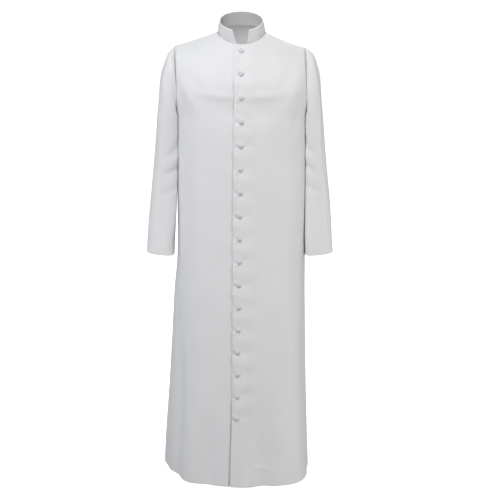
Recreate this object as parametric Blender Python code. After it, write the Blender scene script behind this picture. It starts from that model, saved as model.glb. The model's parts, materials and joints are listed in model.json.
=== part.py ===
"""A white liturgical robe with a standing collar and seventeen covered buttons.

It is filled out with no wearer, so each piece is a cloth wall of its own round a hollow. Sizes are in
metres, +Z is up, the front faces -Y and the wearer's left is towards +X. The origin is in the middle
of the neck opening, level with its sides.
"""

import math
from functools import lru_cache

import bmesh
import bpy
from mathutils import Vector
from mathutils.bvhtree import BVHTree

# Cloth and seams
WALL = 0.0018
COLLAR_WALL = 0.0026
SEAM_GAP = 0.0003
NECK_GAP = 0.0006
LAP_LIFT = 0.0026
LAP_OPENING = 0.0024
LAP_OPENS_AT = -1.20
SHARP_ANGLE = math.radians(50)
# Points of neighbouring pieces nearer than this are one point of the seam
SEAM_MERGE = 0.00002

# Levels
YOKE_HEIGHT = -0.165
UNDERARM_HEIGHT = -0.255
CHEST_HEIGHT = -0.300
HEM_HEIGHT = -1.440
NECK_FRONT_HEIGHT = -0.025

# Neck opening, where the collar is sewn on
NECK_MIDDLE = 0.0035
NECK_HALF_WIDTH = 0.0743
NECK_FRONT = 0.073
NECK_BACK = 0.060
NECK_SIDE_HEIGHT = 0.006
NECK_TILT = 0.0235
NECK_DIP = 0.0075
SHOULDER_ANGLE = 92.0

# Collar's upper edge
COLLAR_MIDDLE = 0.003
COLLAR_HALF_WIDTH = 0.0665
COLLAR_FRONT = 0.068
COLLAR_BACK = 0.058
COLLAR_SIDE_HEIGHT = 0.0425
COLLAR_TILT = 0.02475
COLLAR_DIP = 0.00225
COLLAR_BULGE = 0.0012
# Angles of the collar's two front ends from the middle of the front
COLLAR_LEFT_END = {"foot": 13.5, "top": 20.7}
COLLAR_RIGHT_END = {"foot": 9.9, "top": 24.2}

# Armholes
ARMHOLE_HALF_DEPTH = 0.070
SHOULDER_TIP_Y = 0.010
SHOULDERS = {
    # side: tip across, tip height, sag of the shoulder line
    -1: {"across": 0.2040, "height": -0.0370, "sag": 0.0020},
    1: {"across": 0.2010, "height": -0.0430, "sag": 0.0045},
}

# Buttons
BUTTON_COUNT = 17
FIRST_BUTTON = 0.0197
BUTTON_PITCH = 0.0733
BUTTON_GAP = 0.0004
# The walk down the front that spaces the buttons starts this far below the neck, in steps this long
WALK_START = 0.003
WALK_STEP = 0.0005
BUTTON_SIDES = 10
BUTTON_PROFILE = (
    # radius, height above the cloth
    (0.0024, 0.0),
    (0.0024, 0.0012),
    (0.0070, 0.0017),
    (0.0074, 0.0032),
    (0.0052, 0.0058),
)
BUTTON_TOP = 0.0068

# Grid of each piece: columns on the neck, shoulder and lower armhole, rows above and below
FRONT_COLUMNS = {"neck": 6, "shoulder": 6, "underarm": 4}
BACK_COLUMNS = {"neck": 5, "shoulder": 6, "underarm": 4}
SHOULDER_ROWS = 7
UNDERARM_ROWS = 3
SKIRT_ROWS = 21
UNDERARM_SHARE = 0.79
SLEEVE_SIDES = 18
COLLAR_COLUMNS = 34
COLLAR_ROWS = 3
ARC_STEPS = 60

# Level sections of the body. The widths are measured from X = 0 to the side seam, or to the armhole's
# edge above the underarm. The depths are measured from Y = 0. Squareness 2 is an ellipse.
SECTION_COLUMNS = (
    "height", "right", "left", "front", "back", "square_right", "square_left", "middle", "side",
)
SECTIONS = (
    (-0.165, 0.1970, 0.2055, 0.131, 0.119, 3.20, 3.20, 0.0030, 0.003),
    (-0.255, 0.1985, 0.2070, 0.137, 0.121, 2.80, 2.80, 0.0027, 0.003),
    (-0.366, 0.2003, 0.2083, 0.138, 0.118, 2.50, 2.50, 0.0005, 0.003),
    (-0.542, 0.2020, 0.2083, 0.141, 0.117, 2.40, 2.50, -0.0030, 0.003),
    (-0.648, 0.2035, 0.2078, 0.146, 0.125, 2.40, 2.50, -0.0047, 0.003),
    (-0.728, 0.2070, 0.2085, 0.150, 0.133, 2.40, 2.50, -0.0056, 0.005),
    (-0.809, 0.2155, 0.2092, 0.154, 0.141, 2.35, 2.60, -0.0067, 0.008),
    (-0.974, 0.2268, 0.2122, 0.162, 0.157, 2.30, 2.80, -0.0098, 0.016),
    (-1.142, 0.2388, 0.2160, 0.171, 0.174, 2.25, 3.10, -0.0118, 0.026),
    (-1.313, 0.2532, 0.2220, 0.181, 0.190, 2.15, 3.60, -0.0170, 0.038),
    (-1.440, 0.2620, 0.2270, 0.190, 0.200, 2.05, 4.00, -0.0200, 0.050),
)

# How far each front reaches past the middle line
LAP_COLUMNS = ("height", "over", "under")
LAPS = (
    (-0.025, 0.0124, 0.008),
    (-0.100, 0.0180, 0.014),
    (-0.200, 0.0205, 0.018),
    (-0.660, 0.0180, 0.018),
    (-0.820, 0.0165, 0.018),
    (-1.160, 0.0136, 0.018),
    (-1.440, 0.0135, 0.018),
)

# How the cloth leaves the top edge and reaches the yoke level, from the middle out to the armhole.
# Place is 0 in the middle, 1 at the neck's side and 2 at the shoulder tip.
DRAPE_COLUMNS = ("place", "forward", "drop", "rise")
DRAPES = {
    "front": (
        (0.0, 0.38, 0.035, 0.35),
        (0.5, 0.40, 0.028, 0.38),
        (1.0, 0.42, 0.019, 0.42),
        (1.5, 0.48, 0.009, 0.48),
        (2.0, 0.5523, 0.0, 0.5523),
    ),
    "back": (
        (0.0, 0.50, 0.036, 0.42),
        (0.5, 0.49, 0.032, 0.43),
        (1.0, 0.48, 0.022, 0.45),
        (1.5, 0.50, 0.011, 0.49),
        (2.0, 0.5523, 0.0, 0.5523),
    ),
}

# The largest folds. Place runs from -1 at the right side seam, over 0 in the middle, to 1 at the left
# side seam. A trough has a positive depth, and a ridge a negative one.
FOLD_STEEPNESS = 1.6
FOLD_SIDE_FADE = 0.12
# Half the length over which the cloth's direction is measured
TANGENT_REACH = 0.004
FOLD_COLUMNS = ("face", "place", "lean", "half_width", "starts", "full", "depth")
FOLDS = (
    ("front", -0.80, 0.00, 0.09, -1.10, -1.44, 0.0050),
    ("front", -0.60, 0.00, 0.10, -0.82, -1.25, 0.0085),
    ("front", -0.41, 0.00, 0.13, -1.00, -1.44, -0.0140),
    ("front", -0.24, -0.01, 0.09, -1.15, -1.40, 0.0035),
    ("front", 0.09, 0.00, 0.09, -1.05, -1.34, -0.0035),
    ("front", 0.22, -0.01, 0.09, -1.05, -1.32, 0.0075),
    ("front", 0.46, 0.03, 0.12, -1.10, -1.40, -0.0030),
    ("front", 0.74, 0.02, 0.09, -0.90, -1.35, 0.0045),
    ("back", -0.70, 0.03, 0.12, -0.60, -1.25, 0.0080),
    ("back", -0.42, -0.03, 0.11, -0.75, -1.30, -0.0060),
    ("back", -0.16, 0.02, 0.11, -0.45, -1.20, 0.0075),
    ("back", 0.12, -0.02, 0.12, -0.70, -1.30, -0.0060),
    ("back", 0.38, 0.04, 0.12, -0.55, -1.25, 0.0085),
    ("back", 0.66, 0.02, 0.12, -0.80, -1.30, -0.0055),
)

# Rings of the sleeves. Inner and outer are the ring's nearest and farthest points from the body.
SLEEVE_COLUMNS = (
    "inner_height", "outer_height", "right_inner", "right_outer", "left_inner", "left_outer",
    "half_depth", "middle_y",
)
SLEEVE_RINGS = (
    (-0.2570, -0.0500, 0.2020, 0.2165, 0.2102, 0.2155, 0.0710, 0.004),
    (-0.2590, -0.0660, 0.2028, 0.2285, 0.2110, 0.2300, 0.0722, 0.004),
    (-0.2620, -0.0900, 0.2030, 0.2378, 0.2112, 0.2392, 0.0730, 0.004),
    (-0.2670, -0.1200, 0.2030, 0.2480, 0.2112, 0.2478, 0.0735, 0.005),
    (-0.2750, -0.1550, 0.2030, 0.2530, 0.2112, 0.2516, 0.0735, 0.006),
    (-0.2870, -0.2000, 0.2030, 0.2565, 0.2112, 0.2548, 0.0730, 0.007),
    (-0.3080, -0.2500, 0.2030, 0.2620, 0.2112, 0.2598, 0.0720, 0.009),
    (-0.3450, -0.3100, 0.2031, 0.2672, 0.2112, 0.2648, 0.0705, 0.011),
    (-0.4000, -0.3800, 0.2038, 0.2738, 0.2112, 0.2708, 0.0675, 0.011),
    (-0.4550, -0.4450, 0.2050, 0.2804, 0.2112, 0.2773, 0.0640, 0.008),
    (-0.5150, -0.5100, 0.2072, 0.2872, 0.2112, 0.2840, 0.0595, 0.001),
    (-0.5750, -0.5700, 0.2100, 0.2932, 0.2110, 0.2890, 0.0545, -0.008),
    (-0.6360, -0.6290, 0.2132, 0.2984, 0.2106, 0.2924, 0.0500, -0.018),
    (-0.6975, -0.6875, 0.2155, 0.3018, 0.2100, 0.2966, 0.0460, -0.028),
)
SLEEVE_SQUARE = 2.15

COTTON = {"color": (0.84, 0.84, 0.85, 1.0), "roughness": 0.62}
COTTON_SHADE = {"color": (0.80, 0.80, 0.82, 1.0), "roughness": 0.66}
BUTTON_CLOTH = {"color": (0.78, 0.78, 0.80, 1.0), "roughness": 0.55}


def clear_scene():
    for obj in list(bpy.data.objects):
        bpy.data.objects.remove(obj)


def cloth_material(name, look):
    material = bpy.data.materials.new(name)
    material.use_nodes = True
    shader = material.node_tree.nodes["Principled BSDF"]
    shader.inputs["Base Color"].default_value = look["color"]
    shader.inputs["Roughness"].default_value = look["roughness"]
    shader.inputs["Metallic"].default_value = 0.0
    return material


def side_name(side):
    return "left" if side > 0 else "right"


def smooth_step(value):
    value = min(max(value, 0.0), 1.0)
    return value * value * (3 - 2 * value)


def read_row(rows, columns, at):
    """The table's row at a place between its rows, on a smooth curve through them."""
    order = sorted(rows)
    places = [row[0] for row in order]
    at = min(max(at, places[0]), places[-1])
    index = max(i for i in range(len(places) - 1) if places[i] <= at)
    span = places[index + 1] - places[index]
    share = (at - places[index]) / span

    def slope(column, i):
        low = max(i - 1, 0)
        high = min(i + 1, len(order) - 1)
        return (order[high][column] - order[low][column]) / (places[high] - places[low]) * span

    found = {}
    for column, name in enumerate(columns):
        start = order[index][column]
        end = order[index + 1][column]
        go = slope(column, index)
        stop = slope(column, index + 1)
        found[name] = (
            start * (1 + 2 * share) * (1 - share) ** 2
            + go * share * (1 - share) ** 2
            + end * share * share * (3 - 2 * share)
            + stop * share * share * (share - 1)
        )
    return found


def along_curve(start, leave, arrive, end, share):
    """A point of the cubic curve from start to end with the two handles given."""
    rest = 1 - share
    return (
        start * rest**3
        + leave * 3 * rest * rest * share
        + arrive * 3 * rest * share * share
        + end * share**3
    )


def neck_point(angle):
    """A point of the neck seam, with the angle in degrees from the front towards the wearer's left."""
    turn = math.radians(angle)
    depth = NECK_FRONT if math.cos(turn) > 0 else NECK_BACK
    return Vector((
        NECK_MIDDLE + NECK_HALF_WIDTH * math.sin(turn),
        -depth * math.cos(turn),
        NECK_SIDE_HEIGHT - NECK_TILT * math.cos(turn) - NECK_DIP * math.cos(turn) ** 2,
    ))


def collar_top_point(angle):
    turn = math.radians(angle)
    depth = COLLAR_FRONT if math.cos(turn) > 0 else COLLAR_BACK
    return Vector((
        COLLAR_MIDDLE + COLLAR_HALF_WIDTH * math.sin(turn),
        -depth * math.cos(turn),
        COLLAR_SIDE_HEIGHT - COLLAR_TILT * math.cos(turn) - COLLAR_DIP * math.cos(turn) ** 2,
    ))


def shoulder_point(side, share):
    """A point of the shoulder seam, from the neck to the armhole."""
    tip = SHOULDERS[side]
    start = neck_point(side * SHOULDER_ANGLE)
    end = Vector((side * tip["across"], SHOULDER_TIP_Y, tip["height"]))
    point = start.lerp(end, share)
    point.z -= tip["sag"] * 4 * share * (1 - share)
    return point


def armhole_point(side, angle):
    """A point of the armhole's edge: 0 degrees on the shoulder, 90 in front, 180 under the arm."""
    turn = math.radians(angle)
    up = math.cos(turn)
    tip = SHOULDERS[side]
    yoke = read_row(SECTIONS, SECTION_COLUMNS, YOKE_HEIGHT)
    width = side_name(side)
    y = yoke["side"] - ARMHOLE_HALF_DEPTH * math.sin(turn)
    if up > 0:
        across = yoke[width] + (tip["across"] - yoke[width]) * up
        y += (SHOULDER_TIP_Y - yoke["side"]) * up
        return Vector((side * across, y, YOKE_HEIGHT + (tip["height"] - YOKE_HEIGHT) * up))
    height = YOKE_HEIGHT + (YOKE_HEIGHT - UNDERARM_HEIGHT) * up
    across = read_row(SECTIONS, SECTION_COLUMNS, height)[width]
    return Vector((side * across, y, height))


@lru_cache(maxsize=None)
def section_arc(height, side, face):
    """Points of a level section from the middle line to its outer edge, with the length up to each."""
    row = read_row(SECTIONS, SECTION_COLUMNS, height)
    reach = row[side_name(side)] - side * row["middle"]
    square = row["square_" + side_name(side)]
    depth = row["front"] + row["side"] if face == "front" else row["back"] - row["side"]
    last = math.pi / 2
    half_width = reach
    if height > UNDERARM_HEIGHT:
        down = (YOKE_HEIGHT - height) / (YOKE_HEIGHT - UNDERARM_HEIGHT)
        inset = ARMHOLE_HALF_DEPTH * math.sqrt(max(0.0, 1 - down * down))
        half_width = reach / (1 - (inset / depth) ** square) ** (1 / square)
        last = math.asin(min(1.0, (reach / half_width) ** (square / 2)))
    points = []
    for step in range(ARC_STEPS + 1):
        turn = last * step / ARC_STEPS
        x = row["middle"] + side * half_width * math.sin(turn) ** (2 / square)
        y = depth * max(0.0, math.cos(turn)) ** (2 / square)
        points.append((x, row["side"] - y if face == "front" else row["side"] + y))
    lengths = [0.0]
    for before, after in zip(points, points[1:]):
        lengths.append(lengths[-1] + math.dist(before, after))
    return points, lengths


def section_point(height, side, face, length):
    """The point that lies a length from the middle line round towards the side."""
    height = round(height, 5)
    if length < 0:
        side, length = -side, -length
    points, lengths = section_arc(height, side, face)
    length = min(length, lengths[-1])
    index = max(i for i in range(len(lengths) - 1) if lengths[i] <= length)
    share = (length - lengths[index]) / (lengths[index + 1] - lengths[index])
    x, y = (a + (b - a) * share for a, b in zip(points[index], points[index + 1]))
    return Vector((x, y, height))


def start_of(face, side, height):
    """How far past the middle line the piece begins, as a length along its section."""
    if face == "back":
        return 0.0
    return read_row(LAPS, LAP_COLUMNS, height)["over" if side > 0 else "under"]


def fold_depth(face, side, share, height):
    """How far the folds push the cloth inwards here."""
    place = side * share
    depth = 0.0
    for row in FOLDS:
        fold = dict(zip(FOLD_COLUMNS, row))
        if fold["face"] != face:
            continue
        grown = smooth_step((fold["starts"] - height) / (fold["starts"] - fold["full"]))
        middle = fold["place"] + fold["lean"] * grown
        away = (place - middle) / fold["half_width"]
        depth += fold["depth"] * grown * math.exp(-away * away * FOLD_STEEPNESS)
    side_fade = smooth_step((1 - abs(share)) / FOLD_SIDE_FADE)
    return depth * side_fade


def body_point(face, side, share, height):
    """A point of the body below the shoulder, folds and lap included. Share is 1 at the outer edge."""
    start = start_of(face, side, height)
    total = section_arc(round(height, 5), side, face)[1][-1]
    length = -start + share * (total + start)
    point = section_point(height, side, face, length)
    ahead = section_point(height, side, face, length + TANGENT_REACH)
    behind = section_point(height, side, face, length - TANGENT_REACH)
    along = (ahead - behind).normalized()
    inward = Vector((-along.y, along.x, 0)) * side * (1 if face == "front" else -1)
    return point + inward * fold_depth(face, side, length / total, height)


def top_point(face, side, columns, column):
    """A point of the top edge, on the neckline or the shoulder seam, and its place in DRAPES."""
    neck, shoulder = columns["neck"], columns["shoulder"]
    if column >= neck:
        share = (column - neck) / shoulder
        return shoulder_point(side, share), 1 + share
    if face == "back":
        angle = 180 + (SHOULDER_ANGLE - 180) * column / neck
        return neck_point(side * angle), (180 - angle) / (180 - SHOULDER_ANGLE)
    first = -math.degrees(math.asin(start_of(face, side, NECK_FRONT_HEIGHT) / NECK_HALF_WIDTH))
    angle = first + (SHOULDER_ANGLE - first) * column / neck
    return neck_point(side * angle), abs(angle) / SHOULDER_ANGLE


def panel_grid(face, side, columns):
    """Points of one side of a piece by column and row. Outer columns begin on the lower armhole."""
    armhole_column = columns["neck"] + columns["shoulder"]
    last_column = armhole_column + columns["underarm"]
    grid = {}
    for column in range(last_column + 1):
        if column <= armhole_column:
            begin_share = column / armhole_column
            chest_share = UNDERARM_SHARE * begin_share
            begin_height = YOKE_HEIGHT
        else:
            part = (column - armhole_column) / columns["underarm"]
            begin_share = 1.0
            chest_share = UNDERARM_SHARE + (1 - UNDERARM_SHARE) * part
            begin_height = armhole_point(side, 90 + 90 * part).z
        if column == armhole_column:
            for row in range(SHOULDER_ROWS):
                angle = 90 * row / SHOULDER_ROWS
                grid[column, row] = armhole_point(side, angle if face == "front" else -angle)
        elif column < armhole_column:
            top, place = top_point(face, side, columns, column)
            yoke = body_point(face, side, begin_share, YOKE_HEIGHT)
            drape = read_row(DRAPES[face], DRAPE_COLUMNS, place)
            third = (yoke.x - top.x) / 3
            leave = top + Vector((third, drape["forward"] * (yoke.y - top.y), -drape["drop"]))
            arrive = yoke + Vector((-third, 0, drape["rise"] * (top.z - yoke.z)))
            for row in range(SHOULDER_ROWS):
                grid[column, row] = along_curve(top, leave, arrive, yoke, row / SHOULDER_ROWS)
        for row in range(UNDERARM_ROWS + 1):
            down = row / UNDERARM_ROWS
            height = begin_height + (CHEST_HEIGHT - begin_height) * down
            share = begin_share + (chest_share - begin_share) * down
            grid[column, SHOULDER_ROWS + row] = body_point(face, side, share, height)
        for row in range(1, SKIRT_ROWS + 1):
            height = CHEST_HEIGHT + (HEM_HEIGHT - CHEST_HEIGHT) * row / SKIRT_ROWS
            point = body_point(face, side, chest_share, height)
            grid[column, SHOULDER_ROWS + UNDERARM_ROWS + row] = point
    return grid


def faces_of(grid):
    """Corner keys of each four-sided face of a grid, anticlockwise as seen with columns to the right."""
    faces = []
    for column, row in grid:
        corners = ((column, row), (column, row + 1), (column + 1, row + 1), (column + 1, row))
        if all(corner in grid for corner in corners):
            faces.append(corners)
    return faces


def both_backs():
    """The back in one grid, from the right side seam at its lowest column to the left."""
    grid = {}
    for side in (-1, 1):
        for (column, row), point in panel_grid("back", side, BACK_COLUMNS).items():
            grid[side * column, row] = point
    return grid


def shared_normals(grids):
    """Outward directions at every point, smooth across the seams where pieces meet."""
    sheet = bmesh.new()
    for grid in grids:
        points = {key: sheet.verts.new(point) for key, point in grid.items()}
        for corners in faces_of(grid):
            sheet.faces.new([points[corner] for corner in corners])
    bmesh.ops.remove_doubles(sheet, verts=sheet.verts, dist=SEAM_MERGE)
    bmesh.ops.recalc_face_normals(sheet, faces=sheet.faces)
    sheet.normal_update()
    found = {}
    for vert in sheet.verts:
        found[tuple(round(value, 4) for value in vert.co)] = vert.normal.copy()
    middle_front = min(sheet.verts, key=lambda vert: vert.co.y)
    if middle_front.normal.y > 0:
        found = {key: -normal for key, normal in found.items()}
    sheet.free()
    return found


def normal_at(normals, point):
    key = tuple(round(value, 4) for value in point)
    if key in normals:
        return normals[key]
    nearest = min(normals, key=lambda other: sum((a - b) ** 2 for a, b in zip(other, key)))
    return normals[nearest]


def add_object(name, mesh, material):
    bmesh.ops.recalc_face_normals(mesh, faces=mesh.faces)
    data = bpy.data.meshes.new(name)
    mesh.to_mesh(data)
    mesh.free()
    data.shade_smooth()
    data.set_sharp_from_angle(angle=SHARP_ANGLE)
    data.materials.append(material)
    obj = bpy.data.objects.new(name, data)
    bpy.context.scene.collection.objects.link(obj)
    return obj


def cloth_wall(name, outer, inner, faces, material):
    """A closed wall: the outer sheet, extruded to the inner points."""
    mesh = bmesh.new()
    number = mesh.verts.layers.int.new("number")
    keys = list(outer)
    verts = {}
    for index, key in enumerate(keys):
        verts[key] = mesh.verts.new(outer[key])
        verts[key][number] = index
    for corners in faces:
        mesh.faces.new([verts[corner] for corner in corners])
    made = bmesh.ops.extrude_face_region(mesh, geom=list(mesh.faces))
    for item in made["geom"]:
        if isinstance(item, bmesh.types.BMVert):
            item.co = inner[keys[item[number]]]
    return add_object(name, mesh, material)


def open_seam(grid, key, neighbour):
    """The move that takes a point on a seam half the seam's gap back into its own piece."""
    towards = grid[neighbour] - grid[key]
    return towards.normalized() * SEAM_GAP / 2


def panel_wall(name, grid, normals, seams, lift, material):
    """One piece of the body, clear of its neighbours at the seams."""
    outer, inner = {}, {}
    for key, point in grid.items():
        outwards = normal_at(normals, point)
        raised = outwards.copy()
        if key[1] == 0 and lift(key) > 0:
            # The neckline is raised level, to stay clear of the collar above it
            raised.z = 0
            raised /= raised.dot(outwards)
        moved = point + raised * lift(key)
        if key in seams:
            moved = moved + open_seam(grid, key, seams[key])
        outer[key] = moved
        inner[key] = moved - outwards * WALL
    return cloth_wall(name, outer, inner, faces_of(grid), material)


def seam_neighbours(columns, side):
    """For each point on the shoulder and side seams, the neighbour that it moves towards."""
    neck, shoulder, underarm = columns["neck"], columns["shoulder"], columns["underarm"]
    last = neck + shoulder + underarm
    rows = SHOULDER_ROWS + UNDERARM_ROWS + SKIRT_ROWS
    seams = {}
    for column in range(neck, neck + shoulder + 1):
        seams[side * column, 0] = (side * column, 1)
    for row in range(SHOULDER_ROWS, rows + 1):
        seams[side * last, row] = (side * (last - 1), row)
    return seams


def lap_lift(grid):
    """How far each point of the left front lies outside the right front that it laps over."""
    def lift(key):
        column, row = key
        flat, fade = (1, 1.0) if row == 0 else (2, 2.0)
        opening = smooth_step((LAP_OPENS_AT - grid[key].z) / (LAP_OPENS_AT - HEM_HEIGHT))
        full = LAP_LIFT + LAP_OPENING * opening
        return full * smooth_step((flat + fade - column) / fade)
    return lift


def body(materials):
    """The two fronts and the back."""
    fronts = {side: panel_grid("front", side, FRONT_COLUMNS) for side in (-1, 1)}
    back_grid = both_backs()
    right = {(-column, row): point for (column, row), point in fronts[-1].items()}
    normals = shared_normals([fronts[1], right, back_grid])
    made = {}
    lifts = {1: lap_lift(fronts[1]), -1: lambda key: 0.0}
    for side, name, grid in ((1, "front_left", fronts[1]), (-1, "front_right", right)):
        seams = seam_neighbours(FRONT_COLUMNS, side)
        made[name] = panel_wall(name, grid, normals, seams, lifts[side], materials["cotton"])
    seams = {**seam_neighbours(BACK_COLUMNS, 1), **seam_neighbours(BACK_COLUMNS, -1)}
    made["back"] = panel_wall("back", back_grid, normals, seams, lambda key: 0.0, materials["cotton"])
    return made


def ring_point(side, ring, angle):
    """A point of a sleeve ring: 0 degrees at its outer end, 90 in front and 180 at its inner end."""
    which = side_name(side)
    outer = Vector((side * ring[which + "_outer"], ring["middle_y"], ring["outer_height"]))
    inner = Vector((side * ring[which + "_inner"], ring["middle_y"], ring["inner_height"]))
    turn = math.radians(angle)
    power = 2 / SLEEVE_SQUARE
    along = math.copysign(abs(math.cos(turn)) ** power, math.cos(turn))
    forward = math.copysign(abs(math.sin(turn)) ** power, math.sin(turn))
    middle = (outer + inner) / 2
    return middle + (outer - middle) * along - Vector((0, ring["half_depth"] * forward, 0))


def sleeve_grid(side):
    grid = {}
    for row, values in enumerate(((),) + SLEEVE_RINGS):
        for column in range(SLEEVE_SIDES):
            angle = 360 * column / SLEEVE_SIDES
            if row == 0:
                point = armhole_point(side, angle)
                point.x += side * SEAM_GAP
                grid[column, row] = point
            else:
                ring = dict(zip(SLEEVE_COLUMNS, values))
                grid[column, row] = ring_point(side, ring, angle)
    return grid


def sleeve(side, name, material):
    """One sleeve: a tube from the armhole to the cuff, open at both ends."""
    grid = sleeve_grid(side)
    rows = len(SLEEVE_RINGS)
    sheet = bmesh.new()
    verts = {key: sheet.verts.new(point) for key, point in grid.items()}
    closed = []
    for row in range(rows):
        for column in range(SLEEVE_SIDES):
            after = (column + 1) % SLEEVE_SIDES
            closed.append(((column, row), (column, row + 1), (after, row + 1), (after, row)))
    for corners in closed:
        sheet.faces.new([verts[corner] for corner in corners])
    sheet.normal_update()
    centre = sum((point for (column, row), point in grid.items() if row == rows), Vector())
    centre /= SLEEVE_SIDES
    cuff = verts[0, rows]
    way = 1 if cuff.normal.dot(cuff.co - centre) > 0 else -1
    inner = {}
    for key, vert in verts.items():
        outwards = vert.normal * way
        if key[1] == 0:
            outwards = Vector((0, outwards.y, outwards.z)).normalized()
        inner[key] = vert.co - outwards * WALL
    sheet.free()
    return cloth_wall(name, grid, inner, closed, material)


def collar_point(column, row):
    """A point of the collar's outer face, from its left end round the back to its right end."""
    up = row / COLLAR_ROWS
    first = COLLAR_LEFT_END["foot"] + (COLLAR_LEFT_END["top"] - COLLAR_LEFT_END["foot"]) * up
    last = COLLAR_RIGHT_END["foot"] + (COLLAR_RIGHT_END["top"] - COLLAR_RIGHT_END["foot"]) * up
    angle = first + (360 - last - first) * column / COLLAR_COLUMNS
    foot = neck_point(angle) + Vector((0, 0, NECK_GAP))
    point = foot.lerp(collar_top_point(angle), up)
    turn = math.radians(angle)
    outwards = Vector((math.sin(turn), -math.cos(turn), 0))
    return point + outwards * COLLAR_BULGE * 4 * up * (1 - up), outwards


def collar(material):
    """The standing collar, a stiff band open at the front."""
    outer, inner = {}, {}
    for column in range(COLLAR_COLUMNS + 1):
        for row in range(COLLAR_ROWS + 1):
            point, outwards = collar_point(column, row)
            outer[column, row] = point
            inner[column, row] = point - outwards * COLLAR_WALL
    return cloth_wall("collar", outer, inner, faces_of(outer), material)


def button_places(front):
    """Where each button sits on the left front, and the direction that it faces."""
    mesh = bmesh.new()
    mesh.from_mesh(front.data)
    cloth = BVHTree.FromBMesh(mesh)
    mesh.free()

    def on_cloth(height):
        middle = read_row(SECTIONS, SECTION_COLUMNS, height)["middle"]
        spot, outwards, _, _ = cloth.ray_cast(Vector((middle, -1.0, height)), Vector((0, 1, 0)))
        return spot, outwards

    places = []
    height = neck_point(0).z - WALK_START
    before = on_cloth(height)[0]
    travelled = 0.0
    wanted = FIRST_BUTTON
    while len(places) < BUTTON_COUNT:
        height -= WALK_STEP
        spot, outwards = on_cloth(height)
        travelled += (spot - before).length
        before = spot
        if travelled >= wanted:
            places.append((spot, outwards))
            wanted += BUTTON_PITCH
    return places


def button(name, spot, outwards, material):
    """A round cloth-covered button on a short neck."""
    mesh = bmesh.new()
    rings = []
    for radius, height in BUTTON_PROFILE:
        ring = bmesh.ops.create_circle(mesh, segments=BUTTON_SIDES, radius=radius)["verts"]
        bmesh.ops.translate(mesh, verts=ring, vec=(0, 0, height))
        rings.append(ring)
    bmesh.ops.bridge_loops(mesh, edges=list(mesh.edges))
    bmesh.ops.contextual_create(mesh, geom=rings[0])
    top = mesh.verts.new((0, 0, BUTTON_TOP))
    for index, vert in enumerate(rings[-1]):
        mesh.faces.new((vert, rings[-1][(index + 1) % BUTTON_SIDES], top))
    turn = outwards.to_track_quat("Z", "Y").to_matrix()
    bmesh.ops.rotate(mesh, verts=mesh.verts, cent=(0, 0, 0), matrix=turn)
    bmesh.ops.translate(mesh, verts=mesh.verts, vec=spot + outwards * BUTTON_GAP)
    add_object(name, mesh, material)


def main():
    clear_scene()
    materials = {
        "cotton": cloth_material("white cotton", COTTON),
        "collar": cloth_material("white cotton collar", COTTON_SHADE),
        "button": cloth_material("covered button", BUTTON_CLOTH),
    }
    pieces = body(materials)
    sleeve(1, "sleeve_left", materials["cotton"])
    sleeve(-1, "sleeve_right", materials["cotton"])
    collar(materials["collar"])
    for index, (spot, outwards) in enumerate(button_places(pieces["front_left"]), start=1):
        button(f"button_{index:02d}", spot, outwards, materials["button"])


main()
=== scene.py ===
"""The looks of a white liturgical robe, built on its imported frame.

Every cloth piece is a thin shell on the form of its solid, with its creases, seams, turned hems and
stitching. Sizes are in metres, +Z is up, the front faces -Y and the wearer's left is towards +X.
"""

import bisect
import json
import math
from functools import lru_cache

import bmesh
import bpy
import numpy as np
from mathutils import Matrix, Vector, noise
from mathutils.bvhtree import BVHTree

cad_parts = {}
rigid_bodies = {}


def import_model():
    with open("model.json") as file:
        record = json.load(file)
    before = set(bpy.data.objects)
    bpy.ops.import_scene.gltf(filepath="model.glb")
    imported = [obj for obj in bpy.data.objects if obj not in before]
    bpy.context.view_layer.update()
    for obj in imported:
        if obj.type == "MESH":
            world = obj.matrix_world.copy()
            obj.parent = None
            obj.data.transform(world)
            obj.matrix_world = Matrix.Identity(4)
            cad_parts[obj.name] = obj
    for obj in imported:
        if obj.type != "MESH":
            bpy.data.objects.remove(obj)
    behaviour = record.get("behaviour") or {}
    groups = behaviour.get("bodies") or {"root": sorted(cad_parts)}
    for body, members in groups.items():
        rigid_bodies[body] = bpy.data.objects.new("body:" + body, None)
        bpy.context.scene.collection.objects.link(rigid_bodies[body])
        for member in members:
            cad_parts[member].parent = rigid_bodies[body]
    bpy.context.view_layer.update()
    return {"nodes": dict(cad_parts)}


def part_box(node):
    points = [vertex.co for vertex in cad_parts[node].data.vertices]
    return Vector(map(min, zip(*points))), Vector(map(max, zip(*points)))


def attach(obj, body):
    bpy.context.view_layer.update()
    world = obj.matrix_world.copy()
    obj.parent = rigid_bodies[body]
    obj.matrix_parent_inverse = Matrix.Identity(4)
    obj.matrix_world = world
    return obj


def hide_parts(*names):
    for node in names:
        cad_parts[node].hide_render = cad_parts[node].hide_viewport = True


bl_info = {
    "name": "Liturgical robe",
    "version": (1, 0, 0),
    "blender": (4, 5, 0),
    "location": "3D View > Sidebar > Robe",
    "description": "Builds the cloth, covered buttons, stitching and studio of a white buttoned robe",
    "category": "Object",
}

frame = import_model()

# How far the left front is raised off the right one, what is added towards the hem below a height, and
# what is added halfway between two buttons
LAP_LIFT = 0.0026
LAP_OPENING = 0.0024
LAP_OPENS_AT = -1.20
LAP_SCALLOP = 0.0022
# The right front sinks away beside the lap's edge, and most below the last button, where the lap is open
LAP_GROOVE = 0.0012
LAP_GROOVE_OPEN = 0.0055
LAP_GROOVE_WIDTH = 0.0034
LAP_GROOVE_FROM = -1.10
LAP_GROOVE_FULL = -1.26

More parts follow.
